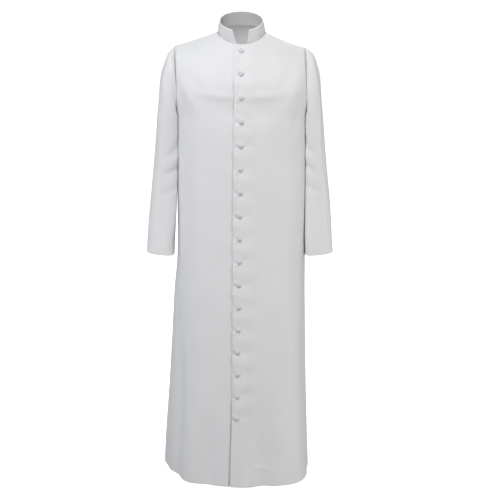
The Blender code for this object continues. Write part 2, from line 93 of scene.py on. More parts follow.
# Levels, neck and collar of the frame
NECK_GAP = 0.0006
COLLAR_WALL = 0.0026
YOKE_HEIGHT = -0.165
UNDERARM_HEIGHT = -0.255
CHEST_HEIGHT = -0.300
HEM_HEIGHT = -1.440
NECK_FRONT_HEIGHT = -0.025
NECK_MIDDLE = 0.0035
NECK_HALF_WIDTH = 0.0743
NECK_FRONT = 0.073
NECK_BACK = 0.060
NECK_SIDE_HEIGHT = 0.006
NECK_TILT = 0.0235
NECK_DIP = 0.0075
SHOULDER_ANGLE = 92.0
COLLAR_MIDDLE = 0.003
COLLAR_HALF_WIDTH = 0.0665
COLLAR_FRONT = 0.068
COLLAR_BACK = 0.058
COLLAR_SIDE_HEIGHT = 0.0425
COLLAR_TILT = 0.02475
COLLAR_DIP = 0.00225
COLLAR_BULGE = 0.0012
COLLAR_LEFT_END = {"foot": 13.5, "top": 20.7}
COLLAR_RIGHT_END = {"foot": 9.9, "top": 24.2}
ARMHOLE_HALF_DEPTH = 0.070
SHOULDER_TIP_Y = 0.010
SHOULDERS = {
    -1: {"across": 0.2040, "height": -0.0370, "sag": 0.0020},
    1: {"across": 0.2010, "height": -0.0430, "sag": 0.0045},
}

# Columns of each piece's grid on the neck, shoulder and lower armhole, and its rows
FRONT_COLUMNS = {"neck": 6, "shoulder": 6, "underarm": 4}
BACK_COLUMNS = {"neck": 5, "shoulder": 6, "underarm": 4}
SHOULDER_ROWS = 7
UNDERARM_ROWS = 3
SKIRT_ROWS = 21
CHEST_ROW = SHOULDER_ROWS + UNDERARM_ROWS
LAST_ROW = CHEST_ROW + SKIRT_ROWS
UNDERARM_SHARE = 0.79
ARC_STEPS = 60

# Level sections of the body. The widths are measured from X = 0 to the side seam, or to the armhole's
# edge above the underarm. The depths are measured from Y = 0. Squareness 2 is an ellipse.
SECTION_COLUMNS = (
    "height", "right", "left", "front", "back", "square_right", "square_left", "middle", "side",
)
SECTIONS = (
    (-0.165, 0.1970, 0.2055, 0.131, 0.119, 3.20, 3.20, 0.0030, 0.003),
    (-0.255, 0.1985, 0.2070, 0.137, 0.121, 2.80, 2.80, 0.0027, 0.003),
    (-0.366, 0.2003, 0.2083, 0.138, 0.118, 2.50, 2.50, 0.0005, 0.003),
    (-0.542, 0.2020, 0.2083, 0.141, 0.117, 2.40, 2.50, -0.0030, 0.003),
    (-0.648, 0.2035, 0.2078, 0.146, 0.125, 2.40, 2.50, -0.0047, 0.003),
    (-0.728, 0.2070, 0.2085, 0.150, 0.133, 2.40, 2.50, -0.0056, 0.005),
    (-0.809, 0.2155, 0.2092, 0.154, 0.141, 2.35, 2.60, -0.0067, 0.008),
    (-0.974, 0.2268, 0.2122, 0.162, 0.157, 2.30, 2.80, -0.0098, 0.016),
    (-1.142, 0.2388, 0.2160, 0.171, 0.174, 2.25, 3.10, -0.0118, 0.026),
    (-1.313, 0.2532, 0.2220, 0.181, 0.190, 2.15, 3.60, -0.0170, 0.038),
    (-1.440, 0.2620, 0.2270, 0.190, 0.200, 2.05, 4.00, -0.0200, 0.050),
)

# How far each front reaches past the middle line
LAP_COLUMNS = ("height", "over", "under")
LAPS = (
    (-0.025, 0.0124, 0.008),
    (-0.100, 0.0180, 0.014),
    (-0.200, 0.0205, 0.018),
    (-0.660, 0.0180, 0.018),
    (-0.820, 0.0165, 0.018),
    (-1.160, 0.0136, 0.018),
    (-1.440, 0.0135, 0.018),
)

# How the cloth leaves the top edge and reaches the yoke level, from the middle out to the armhole.
# Place is 0 in the middle, 1 at the neck's side and 2 at the shoulder tip.
DRAPE_COLUMNS = ("place", "forward", "drop", "rise")
DRAPES = {
    "front": (
        (0.0, 0.38, 0.035, 0.35),
        (0.5, 0.40, 0.028, 0.38),
        (1.0, 0.42, 0.019, 0.42),
        (1.5, 0.48, 0.009, 0.48),
        (2.0, 0.5523, 0.0, 0.5523),
    ),
    "back": (
        (0.0, 0.50, 0.036, 0.42),
        (0.5, 0.49, 0.032, 0.43),
        (1.0, 0.48, 0.022, 0.45),
        (1.5, 0.50, 0.011, 0.49),
        (2.0, 0.5523, 0.0, 0.5523),
    ),
}

# The largest folds, which the solids have too. Place runs from -1 at the right side seam, over 0 in the
# middle, to 1 at the left side seam. A trough has a positive depth, and a ridge a negative one.
FOLD_STEEPNESS = 1.6
FOLD_SIDE_FADE = 0.12
TANGENT_REACH = 0.004
FOLD_COLUMNS = ("face", "place", "lean", "half_width", "starts", "full", "depth")
FOLDS = (
    ("front", -0.80, 0.00, 0.09, -1.10, -1.44, 0.0050),
    ("front", -0.60, 0.00, 0.10, -0.82, -1.25, 0.0085),
    ("front", -0.41, 0.00, 0.13, -1.00, -1.44, -0.0140),
    ("front", -0.24, -0.01, 0.09, -1.15, -1.40, 0.0035),
    ("front", 0.09, 0.00, 0.09, -1.05, -1.34, -0.0035),
    ("front", 0.22, -0.01, 0.09, -1.05, -1.32, 0.0075),
    ("front", 0.46, 0.03, 0.12, -1.10, -1.40, -0.0030),
    ("front", 0.74, 0.02, 0.09, -0.90, -1.35, 0.0045),
    ("back", -0.70, 0.03, 0.12, -0.60, -1.25, 0.0080),
    ("back", -0.42, -0.03, 0.11, -0.75, -1.30, -0.0060),
    ("back", -0.16, 0.02, 0.11, -0.45, -1.20, 0.0075),
    ("back", 0.12, -0.02, 0.12, -0.70, -1.30, -0.0060),
    ("back", 0.38, 0.04, 0.12, -0.55, -1.25, 0.0085),
    ("back", 0.66, 0.02, 0.12, -0.80, -1.30, -0.0055),
)

# Rings of the sleeves. Inner and outer are the ring's nearest and farthest points from the body.
SLEEVE_COLUMNS = (
    "inner_height", "outer_height", "right_inner", "right_outer", "left_inner", "left_outer",
    "half_depth", "middle_y",
)
SLEEVE_RINGS = (
    (-0.2570, -0.0500, 0.2020, 0.2165, 0.2102, 0.2155, 0.0710, 0.004),
    (-0.2590, -0.0660, 0.2028, 0.2285, 0.2110, 0.2300, 0.0722, 0.004),
    (-0.2620, -0.0900, 0.2030, 0.2378, 0.2112, 0.2392, 0.0730, 0.004),
    (-0.2670, -0.1200, 0.2030, 0.2480, 0.2112, 0.2478, 0.0735, 0.005),
    (-0.2750, -0.1550, 0.2030, 0.2530, 0.2112, 0.2516, 0.0735, 0.006),
    (-0.2870, -0.2000, 0.2030, 0.2565, 0.2112, 0.2548, 0.0730, 0.007),
    (-0.3080, -0.2500, 0.2030, 0.2620, 0.2112, 0.2598, 0.0720, 0.009),
    (-0.3450, -0.3100, 0.2031, 0.2672, 0.2112, 0.2648, 0.0705, 0.011),
    (-0.4000, -0.3800, 0.2038, 0.2738, 0.2112, 0.2708, 0.0675, 0.011),
    (-0.4550, -0.4450, 0.2050, 0.2804, 0.2112, 0.2773, 0.0640, 0.008),
    (-0.5150, -0.5100, 0.2072, 0.2872, 0.2112, 0.2840, 0.0595, 0.001),
    (-0.5750, -0.5700, 0.2100, 0.2932, 0.2110, 0.2890, 0.0545, -0.008),
    (-0.6360, -0.6290, 0.2132, 0.2984, 0.2106, 0.2924, 0.0500, -0.018),
    (-0.6975, -0.6875, 0.2155, 0.3018, 0.2100, 0.2966, 0.0460, -0.028),
)
SLEEVE_SQUARE = 2.8
# The sleeves hang this much nearer to the body than their solids, and their cloth rests against it in
# front and behind: the middle angle and spread of each rest, and its depth on the right and left sleeve.
# A rest grows over the first rings, and fades over a length above the height where it ends.
SLEEVE_CLOSER = 0.0028
SLEEVE_RESTS = ((130.0, 24.0, {-1: 0.0122, 1: 0.0112}), (-130.0, 26.0, {-1: 0.0070, 1: 0.0070}))
REST_GROWS = 5.0
REST_FADE = 0.12
REST_ENDS = {-1: -0.68, 1: -0.76}
# The sleeve's edge is tucked this far in under the body's
ARMHOLE_GAP = 0.0001
ARMHOLE_TUCK = 0.0012

# Creases of the body. Across is the length from the middle line, positive towards the wearer's left.
# A trough has a positive depth and a ridge a negative one. Bow is how far its middle leans across.
CREASE_COLUMNS = (
    "from_across", "from_height", "to_across", "to_height", "bow", "half_width", "depth",
)
FRONT_CREASES = (
    (-0.150, -0.166, 0.010, -0.178, -0.004, 0.014, -0.0038),
    (-0.020, -0.179, 0.150, -0.170, -0.004, 0.014, -0.0038),
    (-0.168, -0.226, 0.168, -0.230, 0.004, 0.032, 0.0034),
    (-0.190, -0.095, -0.105, -0.205, 0.008, 0.019, 0.0034),
    (-0.200, -0.130, -0.130, -0.250, 0.006, 0.014, -0.0024),
    (-0.205, -0.170, -0.160, -0.300, 0.004, 0.012, 0.0022),
    (0.190, -0.080, 0.112, -0.190, -0.008, 0.018, 0.0034),
    (0.202, -0.120, 0.135, -0.240, -0.006, 0.013, -0.0024),
    (0.206, -0.165, 0.166, -0.320, -0.004, 0.012, 0.0020),
    (-0.080, -0.030, -0.118, -0.130, 0.004, 0.014, 0.0014),
    (0.082, -0.032, 0.124, -0.120, -0.004, 0.013, 0.0014),
    (-0.150, -0.240, -0.158, -0.640, 0.010, 0.024, -0.0026),
    (-0.110, -0.280, -0.104, -0.760, -0.006, 0.021, 0.0024),
    (-0.060, -0.380, -0.052, -0.830, 0.004, 0.020, 0.0015),
    (-0.200, -0.420, -0.206, -0.860, 0.006, 0.020, 0.0022),
    (0.116, -0.250, 0.128, -0.680, -0.008, 0.023, 0.0024),
    (0.158, -0.280, 0.162, -0.790, 0.006, 0.021, -0.0024),
    (0.066, -0.420, 0.072, -0.900, 0.005, 0.019, 0.0015),
    (0.200, -0.520, 0.196, -0.930, -0.004, 0.018, 0.0020),
    (-0.225, -0.780, -0.215, -1.380, 0.006, 0.013, 0.0026),
    (-0.180, -0.860, -0.170, -1.400, -0.004, 0.012, -0.0018),
    (-0.095, -1.190, -0.086, -1.435, 0.003, 0.017, 0.0028),
    (-0.125, -0.900, -0.118, -1.230, 0.005, 0.016, -0.0018),
    (0.018, -0.980, 0.012, -1.440, -0.002, 0.009, -0.0026),
    (0.036, -1.040, 0.034, -1.440, 0.003, 0.012, 0.0060),
    (0.110, -1.000, 0.118, -1.435, 0.004, 0.016, -0.0020),
    (0.165, -0.940, 0.172, -1.400, -0.005, 0.015, 0.0024),
    (0.055, -1.376, 0.120, -1.386, 0.002, 0.006, -0.0013),
    (0.235, -0.820, 0.245, -1.360, 0.005, 0.016, 0.0026),
)
BACK_CREASES = (
    (-0.192, -0.100, -0.112, -0.225, 0.008, 0.018, 0.0032),
    (-0.202, -0.150, -0.140, -0.300, 0.006, 0.013, -0.0022),
    (0.192, -0.095, 0.104, -0.215, -0.009, 0.018, 0.0032),
    (0.204, -0.150, 0.138, -0.310, -0.005, 0.014, -0.0024),
    (-0.030, -0.120, -0.042, -0.480, 0.005, 0.020, 0.0020),
    (0.040, -0.160, 0.034, -0.540, -0.004, 0.019, 0.0018),
    (-0.135, -0.300, -0.128, -0.720, 0.007, 0.022, 0.0028),
    (-0.090, -0.400, -0.096, -0.860, -0.005, 0.020, -0.0022),
    (0.125, -0.280, 0.134, -0.760, -0.006, 0.023, 0.0028),
    (0.082, -0.460, 0.078, -0.900, 0.005, 0.019, -0.0020),
    (-0.190, -0.480, -0.200, -0.960, 0.005, 0.018, 0.0022),
    (0.186, -0.520, 0.192, -0.980, -0.004, 0.017, 0.0022),
    (-0.150, -0.940, -0.160, -1.430, 0.005, 0.015, 0.0028),
    (-0.060, -0.980, -0.052, -1.435, -0.004, 0.014, 0.0026),
    (0.012, -0.900, 0.020, -1.430, 0.004, 0.016, -0.0024),
    (0.094, -1.020, 0.102, -1.435, 0.003, 0.014, 0.0028),
    (0.170, -0.960, 0.182, -1.430, -0.005, 0.015, -0.0026),
    (0.250, -0.900, 0.262, -1.400, 0.004, 0.016, 0.0024),
    (-0.245, -0.860, -0.262, -1.410, -0.004, 0.016, 0.0024),
)

# Creases of the sleeves, across in degrees round the sleeve: 0 outside, 90 in front, 180 towards the body
SLEEVE_CREASES = (
    (22.0, -0.075, 44.0, -0.170, 6.0, 0.010, 0.0026),
    (58.0, -0.085, 74.0, -0.200, 5.0, 0.011, -0.0018),
    (84.0, -0.110, 66.0, -0.250, -5.0, 0.010, 0.0024),
    (-28.0, -0.080, -50.0, -0.180, -5.0, 0.011, 0.0024),
    (-72.0, -0.110, -60.0, -0.250, 4.0, 0.011, 0.0020),
    (150.0, -0.300, 96.0, -0.370, 6.0, 0.012, 0.0028),
    (156.0, -0.345, 84.0, -0.405, 5.0, 0.010, -0.0012),
    (160.0, -0.400, 92.0, -0.430, -5.0, 0.011, 0.0030),
    (148.0, -0.450, 78.0, -0.490, 5.0, 0.010, 0.0022),
    (40.0, -0.260, 52.0, -0.470, 5.0, 0.013, 0.0018),
    (96.0, -0.480, 104.0, -0.660, -4.0, 0.012, 0.0018),
    (48.0, -0.520, 40.0, -0.680, 4.0, 0.012, 0.0015),
    (-60.0, -0.320, -74.0, -0.560, 5.0, 0.014, 0.0020),
    (-130.0, -0.360, -100.0, -0.440, 5.0, 0.012, 0.0022),
    (-110.0, -0.500, -98.0, -0.670, 4.0, 0.012, 0.0018),
)
# The right sleeve has the same creases, turned round it and moved down
SLEEVE_MIRROR = (7.0, 0.014)

# Pulls in the cloth beside each button, taken in turn: from and to are offsets from the button
PULL_COLUMNS = ("from_across", "from_up", "to_across", "to_up", "half_width", "depth")
BUTTON_PULLS = (
    (
        (-0.0155, -0.006, -0.0150, -0.068, 0.0034, -0.0015),
        (-0.0075, -0.012, -0.0070, -0.062, 0.0036, 0.0013),
        (-0.019, 0.001, 0.003, -0.004, 0.0038, 0.0016),
        (-0.018, -0.012, 0.000, -0.009, 0.0042, -0.0017),
        (0.008, -0.003, 0.030, -0.014, 0.0056, -0.0007),
        (0.008, 0.003, 0.030, 0.010, 0.0050, 0.0006),
        (-0.019, 0.030, -0.004, 0.026, 0.0042, 0.0012),
    ),
    (
        (-0.0150, -0.010, -0.0155, -0.058, 0.0032, -0.0012),
        (-0.0070, -0.008, -0.0080, -0.066, 0.0038, 0.0011),
        (-0.019, -0.006, 0.004, -0.003, 0.0040, 0.0017),
        (-0.019, 0.008, 0.002, 0.004, 0.0038, -0.0015),
        (0.007, -0.006, 0.024, -0.021, 0.0054, -0.0008),
        (0.008, 0.001, 0.034, 0.002, 0.0056, 0.0005),
        (-0.019, -0.034, -0.006, -0.028, 0.0044, -0.0013),
    ),
    (
        (-0.0160, -0.004, -0.0150, -0.063, 0.0036, -0.0017),
        (-0.0080, -0.014, -0.0070, -0.058, 0.0034, 0.0014),
        (-0.019, 0.005, 0.004, 0.001, 0.0036, 0.0014),
        (-0.019, -0.005, 0.002, -0.006, 0.0038, -0.0016),
        (0.008, -0.004, 0.034, -0.008, 0.0058, -0.0006),
        (-0.003, -0.008, -0.001, -0.032, 0.0050, 0.0009),
        (-0.019, -0.022, -0.005, -0.020, 0.0040, 0.0013),
    ),
)

# Creases of the collar: across is the length round it from its left end, height is from its foot
COLLAR_CREASES = (
    (0.012, -0.012, 0.016, 0.050, 0.001, 0.0075, 0.0006),
    (0.034, -0.010, 0.030, 0.048, -0.001, 0.0080, -0.0006),
    (0.056, -0.012, 0.060, 0.050, 0.001, 0.0090, 0.0007),
    (0.084, -0.010, 0.082, 0.046, 0.001, 0.0100, -0.0005),
    (0.128, -0.012, 0.132, 0.050, 0.001, 0.0120, 0.0006),
    (0.176, -0.010, 0.172, 0.048, -0.001, 0.0130, -0.0005),
    (0.222, -0.012, 0.226, 0.050, 0.001, 0.0120, 0.0006),
    (0.268, -0.010, 0.264, 0.048, 0.001, 0.0120, -0.0005),
    (0.312, -0.012, 0.316, 0.050, -0.001, 0.0100, 0.0006),
    (0.344, -0.010, 0.340, 0.048, 0.001, 0.0090, -0.0006),
    (0.368, -0.012, 0.372, 0.050, 0.001, 0.0080, 0.0007),
    (0.392, -0.010, 0.388, 0.048, -0.001, 0.0075, -0.0005),
)

# The grids of the shells
EDGE_FINE = 0.060
FINE_STEP = 0.0024
ACROSS_STEP = 0.0046
DOWN_STEP = 0.0046
YOKE_WIDTH = 0.205
SHOULDER_LENGTH = 0.150
SLEEVE_FINE_COLUMNS = 84
SLEEVE_GIRTH = 0.38
COLLAR_FINE_COLUMNS = 140
COLLAR_FINE_ROWS = 26
COLLAR_LENGTH = 0.40
COLLAR_HEIGHT = 0.037
MERGE_DISTANCE = 0.00001

# Turned edges: steps round the fold, its radius as a share of the cloth, and how far the lap returns
FOLD_STEPS = 4
TURN_RADIUS_SHARE = 1.12
LAP_RETURN = 0.022
COLLAR_EDGE_ROUND = 0.0009
COLLAR_EDGE_SEGMENTS = 3
COLLAR_EDGE_ANGLE = 60
# The collar's foot is tucked this far inside and below the neckline, up to this share of its height
COLLAR_TUCK_IN = 0.0011
COLLAR_TUCK_DOWN = 0.0016
COLLAR_TUCK_SHARE = 0.3
# Its upper edge stands out in a soft roll from this share of its height
COLLAR_ROLL = 0.0012
COLLAR_ROLL_FROM = 0.86
# This many rows of faces at its top have a lighter cloth, a painted highlight along the edge
COLLAR_HIGHLIGHT_ROWS = 2

# Seams roll inwards this far, over this distance, and the cloth lies calm this near to them
SEAM_ROLL = 0.0003
SLEEVE_SEAM_ROLL = 0.0003
SEAM_REACH = 0.0036
SEAM_CALM = 0.018

# How gently a crease fades towards its ends
CREASE_SWELL = 0.7

# Broad unevenness of hanging cloth: size of the waves and how high they are. They are longer in depth and
# down the cloth than across it.
WAVES = ((0.110, 0.0007), (0.036, 0.00022))
WAVE_STRETCH = (1.0, 0.6, 0.45)

# Covered buttons
BUTTON_COUNT = 17
BUTTON_GAP = 0.0004
BUTTON_TOP = 0.0068
BUTTON_RIM_HEIGHT = 0.0030
BUTTON_DOME_STEPS = 9
BUTTON_DOME_TURN = 130
BUTTON_SHANK = ((0.0045, 0.0015), (0.0024, 0.0012), (0.0022, 0.0), (0.0024, -0.0012))
BUTTON_TURNS = 32
BUTTON_GATHERS = 12
BUTTON_GATHER_DEPTH = 0.00015
# The gathers begin this far above the rim and this far from the middle, and grow over these lengths
GATHER_RISE = 0.0004
GATHER_FADE = 0.0014
GATHER_FROM = 0.003
GATHER_GROWS = 0.002

# Worked buttonholes
BUTTONHOLE_BARS = 24
BUTTONHOLE_FROM = -0.003
BUTTONHOLE_TO = 0.014
BUTTONHOLE_LIP = 0.0008
BUTTONHOLE_BAR_LENGTH = 0.0016
BUTTONHOLE_THREAD = 0.0005

# Lines of stitches, laid where rays from outside meet the cloth. A ray starts this far off and goes no
# farther than its limit.
RAY_REACH = 0.03
RAY_LIMIT = 0.2
CUFF_RAYS = 120
HEM_RAYS_WIDTH = 0.40
HEM_TANGENT_COLUMNS = 0.05
HEM_STITCH_INSET = 0.0015
COLLAR_STITCH_TOP = 0.87
COLLAR_STITCH_FOOT = 0.10
COLLAR_STITCH_ENDS = 0.012
COLLAR_END_STEPS = 10
COLLAR_END_HEIGHT = 0.80
PLACKET_STITCH = 0.004
PLACKET_RAYS_FROM = -0.25
PLACKET_BELOW_NECK = 0.008
PLACKET_ABOVE_HEM = 0.004
STITCH_SEGMENTS = (5, 3)

# Scale of the faint unevenness of the yarn and of the cloth's tone, and what they do to tone and roughness
SLUB_SCALE = 420.0
CLOUD_SCALE = 11.0
CLOUD_SHARE = 0.6
CLOTH_SHADE = 0.965
TONE_BETWEEN = (0.32, 0.68)
ROUGHNESS_BELOW = 0.05
ROUGHNESS_ABOVE = 0.06
CLOTH_SPECULAR = 0.32
SHEEN_ROUGHNESS = 0.42

# The weave: the turn in degrees and the pitch of the warp, weft and twill, as a share of the thread's
WEAVE = ((0, 1.0), (90, 1.15), (62, 2.1))
WEFT_SHARE = 0.5
TWILL_SHARE = 0.45
WEAVE_STRENGTH = 0.45
WEAVE_HEIGHT = 0.22
WAVE_TURN = math.tau / 20
WAVE_DISTORTION = 1.2
WAVE_DETAIL_SCALE = 0.4

# Sewing thread
PLY_PITCH = 0.0003
PLY_TURN = 35
THREAD_DARK = (0.74, 0.74, 0.76, 1.0)
THREAD_LIGHT = (0.84, 0.84, 0.85, 1.0)
THREAD_ROUGHNESS = 0.5
THREAD_SHEEN = 0.15

# Studio: each soft light's name, place, aim, size and colour
LAMPS = (
    ("key", (-0.9, -2.4, 2.2), (0.0, 0.0, -0.35), (1.0, 1.0), (0.97, 0.98, 1.0)),
    ("fill", (2.6, -2.1, -0.5), (0.0, 0.0, -1.0), (1.6, 1.6), (1.0, 0.96, 0.92)),
    ("side", (-2.8, -0.7, -0.4), (0.0, 0.0, -0.8), (1.6, 1.6), (0.90, 0.94, 1.0)),
    ("rim", (2.8, 0.2, -0.5), (0.0, 0.0, -0.9), (1.6, 1.6), (1.0, 0.97, 0.94)),
    ("neck", (0.0, -0.035, -0.150), (0.0, 0.08, -0.05), (0.08, 0.05), (1.0, 1.0, 1.0)),
    ("back", (0.6, 3.0, 1.6), (0.0, 0.0, -0.5), (2.0, 2.0), (1.0, 1.0, 1.0)),
)
STAGE_RADIUS = 60.0
FLOOR_SEGMENTS = 96
DOME_SEGMENTS = (48, 24)
PAPER = (0.93, 0.93, 0.93, 1.0)
PAPER_ROUGHNESS = 0.95
FLOOR_GLOW = 0.95
BACKDROP_GLOW = 1.0

# Camera, at the photograph's viewing angle
CAMERA_REACH = 200.0
CAMERA_PLACE = (0.030, -4.0, 0.34)
CAMERA_PITCH = 14.499
CAMERA_LENS = 91.687
CAMERA_SENSOR = 36.0


def side_name(side):
    return "left" if side > 0 else "right"


def smooth_step(value):
    value = min(max(value, 0.0), 1.0)
    return value * value * (3 - 2 * value)


def read_row(rows, columns, at):
    """The table's row at a place between its rows, on a smooth curve through them."""
    order = sorted(rows)
    places = [row[0] for row in order]
    at = min(max(at, places[0]), places[-1])
    index = min(bisect.bisect_right(places, at), len(places) - 1) - 1
    span = places[index + 1] - places[index]
    share = (at - places[index]) / span
    low, high = max(index - 1, 0), min(index + 2, len(order) - 1)
    found = {}
    for column, name in enumerate(columns):
        start, end = order[index][column], order[index + 1][column]
        go = (end - order[low][column]) / (places[index + 1] - places[low]) * span
        stop = (order[high][column] - start) / (places[high] - places[index]) * span
        found[name] = (
            start * (1 + 2 * share) * (1 - share) ** 2
            + go * share * (1 - share) ** 2
            + end * share * share * (3 - 2 * share)
            + stop * share * share * (share - 1)
        )
    return found


def along_curve(start, leave, arrive, end, share):
    """A point of the cubic curve from start to end with the two handles given."""
    rest = 1 - share
    return (
        start * rest**3
        + leave * 3 * rest * rest * share
        + arrive * 3 * rest * share * share
        + end * share**3
    )


def neck_point(angle):
    """A point of the neck seam, with the angle in degrees from the front towards the wearer's left."""
    turn = math.radians(angle)
    depth = NECK_FRONT if math.cos(turn) > 0 else NECK_BACK
    return Vector((
        NECK_MIDDLE + NECK_HALF_WIDTH * math.sin(turn),
        -depth * math.cos(turn),
        NECK_SIDE_HEIGHT - NECK_TILT * math.cos(turn) - NECK_DIP * math.cos(turn) ** 2,
    ))


def collar_top_point(angle):
    turn = math.radians(angle)
    depth = COLLAR_FRONT if math.cos(turn) > 0 else COLLAR_BACK
    return Vector((
        COLLAR_MIDDLE + COLLAR_HALF_WIDTH * math.sin(turn),
        -depth * math.cos(turn),
        COLLAR_SIDE_HEIGHT - COLLAR_TILT * math.cos(turn) - COLLAR_DIP * math.cos(turn) ** 2,
    ))


def collar_point(share, up):
    """A point of the collar's outer face, from its left end round the back to its right end."""
    first = COLLAR_LEFT_END["foot"] + (COLLAR_LEFT_END["top"] - COLLAR_LEFT_END["foot"]) * up
    last = COLLAR_RIGHT_END["foot"] + (COLLAR_RIGHT_END["top"] - COLLAR_RIGHT_END["foot"]) * up
    angle = first + (360 - last - first) * share
    foot = neck_point(angle) + Vector((0, 0, NECK_GAP))
    point = foot.lerp(collar_top_point(angle), up)
    turn = math.radians(angle)
    outwards = Vector((math.sin(turn), -math.cos(turn), 0))
    return point + outwards * COLLAR_BULGE * 4 * up * (1 - up), outwards


def shoulder_point(side, share):
    """A point of the shoulder seam, from the neck to the armhole."""
    tip = SHOULDERS[side]
    start = neck_point(side * SHOULDER_ANGLE)
    end = Vector((side * tip["across"], SHOULDER_TIP_Y, tip["height"]))
    point = start.lerp(end, share)
    point.z -= tip["sag"] * 4 * share * (1 - share)
    return point


def armhole_point(side, angle):
    """A point of the armhole's edge: 0 degrees on the shoulder, 90 in front, 180 under the arm."""
    turn = math.radians(angle)
    up = math.cos(turn)
    tip = SHOULDERS[side]
    yoke = read_row(SECTIONS, SECTION_COLUMNS, YOKE_HEIGHT)
    width = side_name(side)
    y = yoke["side"] - ARMHOLE_HALF_DEPTH * math.sin(turn)
    if up > 0:
        across = yoke[width] + (tip["across"] - yoke[width]) * up
        y += (SHOULDER_TIP_Y - yoke["side"]) * up
        return Vector((side * across, y, YOKE_HEIGHT + (tip["height"] - YOKE_HEIGHT) * up))
    height = YOKE_HEIGHT + (YOKE_HEIGHT - UNDERARM_HEIGHT) * up
    across = read_row(SECTIONS, SECTION_COLUMNS, height)[width]
    return Vector((side * across, y, height))


@lru_cache(maxsize=None)
def section_arc(height, side, face):
    """Points of a level section from the middle line to its outer edge, with the length up to each."""
    row = read_row(SECTIONS, SECTION_COLUMNS, height)
    reach = row[side_name(side)] - side * row["middle"]
    square = row["square_" + side_name(side)]
    depth = row["front"] + row["side"] if face == "front" else row["back"] - row["side"]
    last = math.pi / 2
    half_width = reach
    if height > UNDERARM_HEIGHT:
        down = (YOKE_HEIGHT - height) / (YOKE_HEIGHT - UNDERARM_HEIGHT)
        inset = ARMHOLE_HALF_DEPTH * math.sqrt(max(0.0, 1 - down * down))
        half_width = reach / (1 - (inset / depth) ** square) ** (1 / square)
        last = math.asin(min(1.0, (reach / half_width) ** (square / 2)))
    points = []
    for step in range(ARC_STEPS + 1):
        turn = last * step / ARC_STEPS
        x = row["middle"] + side * half_width * math.sin(turn) ** (2 / square)
        y = depth * max(0.0, math.cos(turn)) ** (2 / square)
        points.append((x, row["side"] - y if face == "front" else row["side"] + y))
    lengths = [0.0]
    for before, after in zip(points, points[1:]):
        lengths.append(lengths[-1] + math.dist(before, after))
    return points, lengths


def section_point(height, side, face, length):
    """The point that lies a length from the middle line round towards the side."""
    height = round(height, 5)
    if length < 0:
        side, length = -side, -length
    points, lengths = section_arc(height, side, face)
    length = min(length, lengths[-1])
    index = min(bisect.bisect_right(lengths, length), len(lengths) - 1) - 1
    share = (length - lengths[index]) / (lengths[index + 1] - lengths[index])
    x, y = (a + (b - a) * share for a, b in zip(points[index], points[index + 1]))
    return Vector((x, y, height))


@lru_cache(maxsize=None)
def start_of(face, side, height):
    """How far past the middle line the piece begins, as a length along its section."""
    if face == "back":
        return 0.0
    return read_row(LAPS, LAP_COLUMNS, height)["over" if side > 0 else "under"]


def fold_depth(face, side, share, height):
    """How far the folds push the cloth inwards here."""
    place = side * share
    depth = 0.0
    for row in FOLDS:
        fold = dict(zip(FOLD_COLUMNS, row))
        if fold["face"] != face or height >= fold["starts"]:
            continue
        grown = smooth_step((fold["starts"] - height) / (fold["starts"] - fold["full"]))
        middle = fold["place"] + fold["lean"] * grown
        away = (place - middle) / fold["half_width"]
        depth += fold["depth"] * grown * math.exp(-away * away * FOLD_STEEPNESS)
    return depth * smooth_step((1 - abs(share)) / FOLD_SIDE_FADE)


def body_point(face, side, share, height):
    """A point of the body below the shoulder, and its length across from the middle line."""
    start = start_of(face, side, height)
    total = section_arc(round(height, 5), side, face)[1][-1]
    length = -start + share * (total + start)
    point = section_point(height, side, face, length)
    ahead = section_point(height, side, face, length + TANGENT_REACH)
    behind = section_point(height, side, face, length - TANGENT_REACH)
    along = (ahead - behind).normalized()
    inward = Vector((-along.y, along.x, 0)) * side * (1 if face == "front" else -1)
    return point + inward * fold_depth(face, side, length / total, height), side * length


def top_point(face, side, columns, column):
    """A point of the top edge, on the neckline or the shoulder seam, and its place in DRAPES."""
    neck, shoulder = columns["neck"], columns["shoulder"]
    if column >= neck:
        share = (column - neck) / shoulder
        return shoulder_point(side, share), 1 + share
    if face == "back":
        angle = 180 + (SHOULDER_ANGLE - 180) * column / neck
        return neck_point(side * angle), (180 - angle) / (180 - SHOULDER_ANGLE)
    first = -math.degrees(math.asin(start_of(face, side, NECK_FRONT_HEIGHT) / NECK_HALF_WIDTH))
    angle = first + (SHOULDER_ANGLE - first) * column / neck
    return neck_point(side * angle), abs(angle) / SHOULDER_ANGLE


def ring_point(side, ring, angle):
    """A point of a sleeve ring: 0 degrees at its outer end, 90 in front and 180 at its inner end."""
    which = side_name(side)
    outer = Vector((side * ring[which + "_outer"], ring["middle_y"], ring["outer_height"]))
    inner = Vector((side * (ring[which + "_inner"] - SLEEVE_CLOSER), ring["middle_y"], ring["inner_height"]))
    turn = math.radians(angle)
    power = 2 / SLEEVE_SQUARE
    along = math.copysign(abs(math.cos(turn)) ** power, math.cos(turn))
    forward = math.copysign(abs(math.sin(turn)) ** power, math.sin(turn))
    middle = (outer + inner) / 2
    return middle + (outer - middle) * along - Vector((0, ring["half_depth"] * forward, 0))


@lru_cache(maxsize=None)
def button_places():
    """Where each button sits on the left front, and the direction that it faces."""
    cloth = surface_of(frame["nodes"]["front_left"])
    places = []
    for number in range(1, BUTTON_COUNT + 1):
        low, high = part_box(f"button_{number:02d}")
        spot, outwards, _, _ = cloth.find_nearest((Vector(low) + Vector(high)) / 2)
        places.append((spot, outwards))
    return places


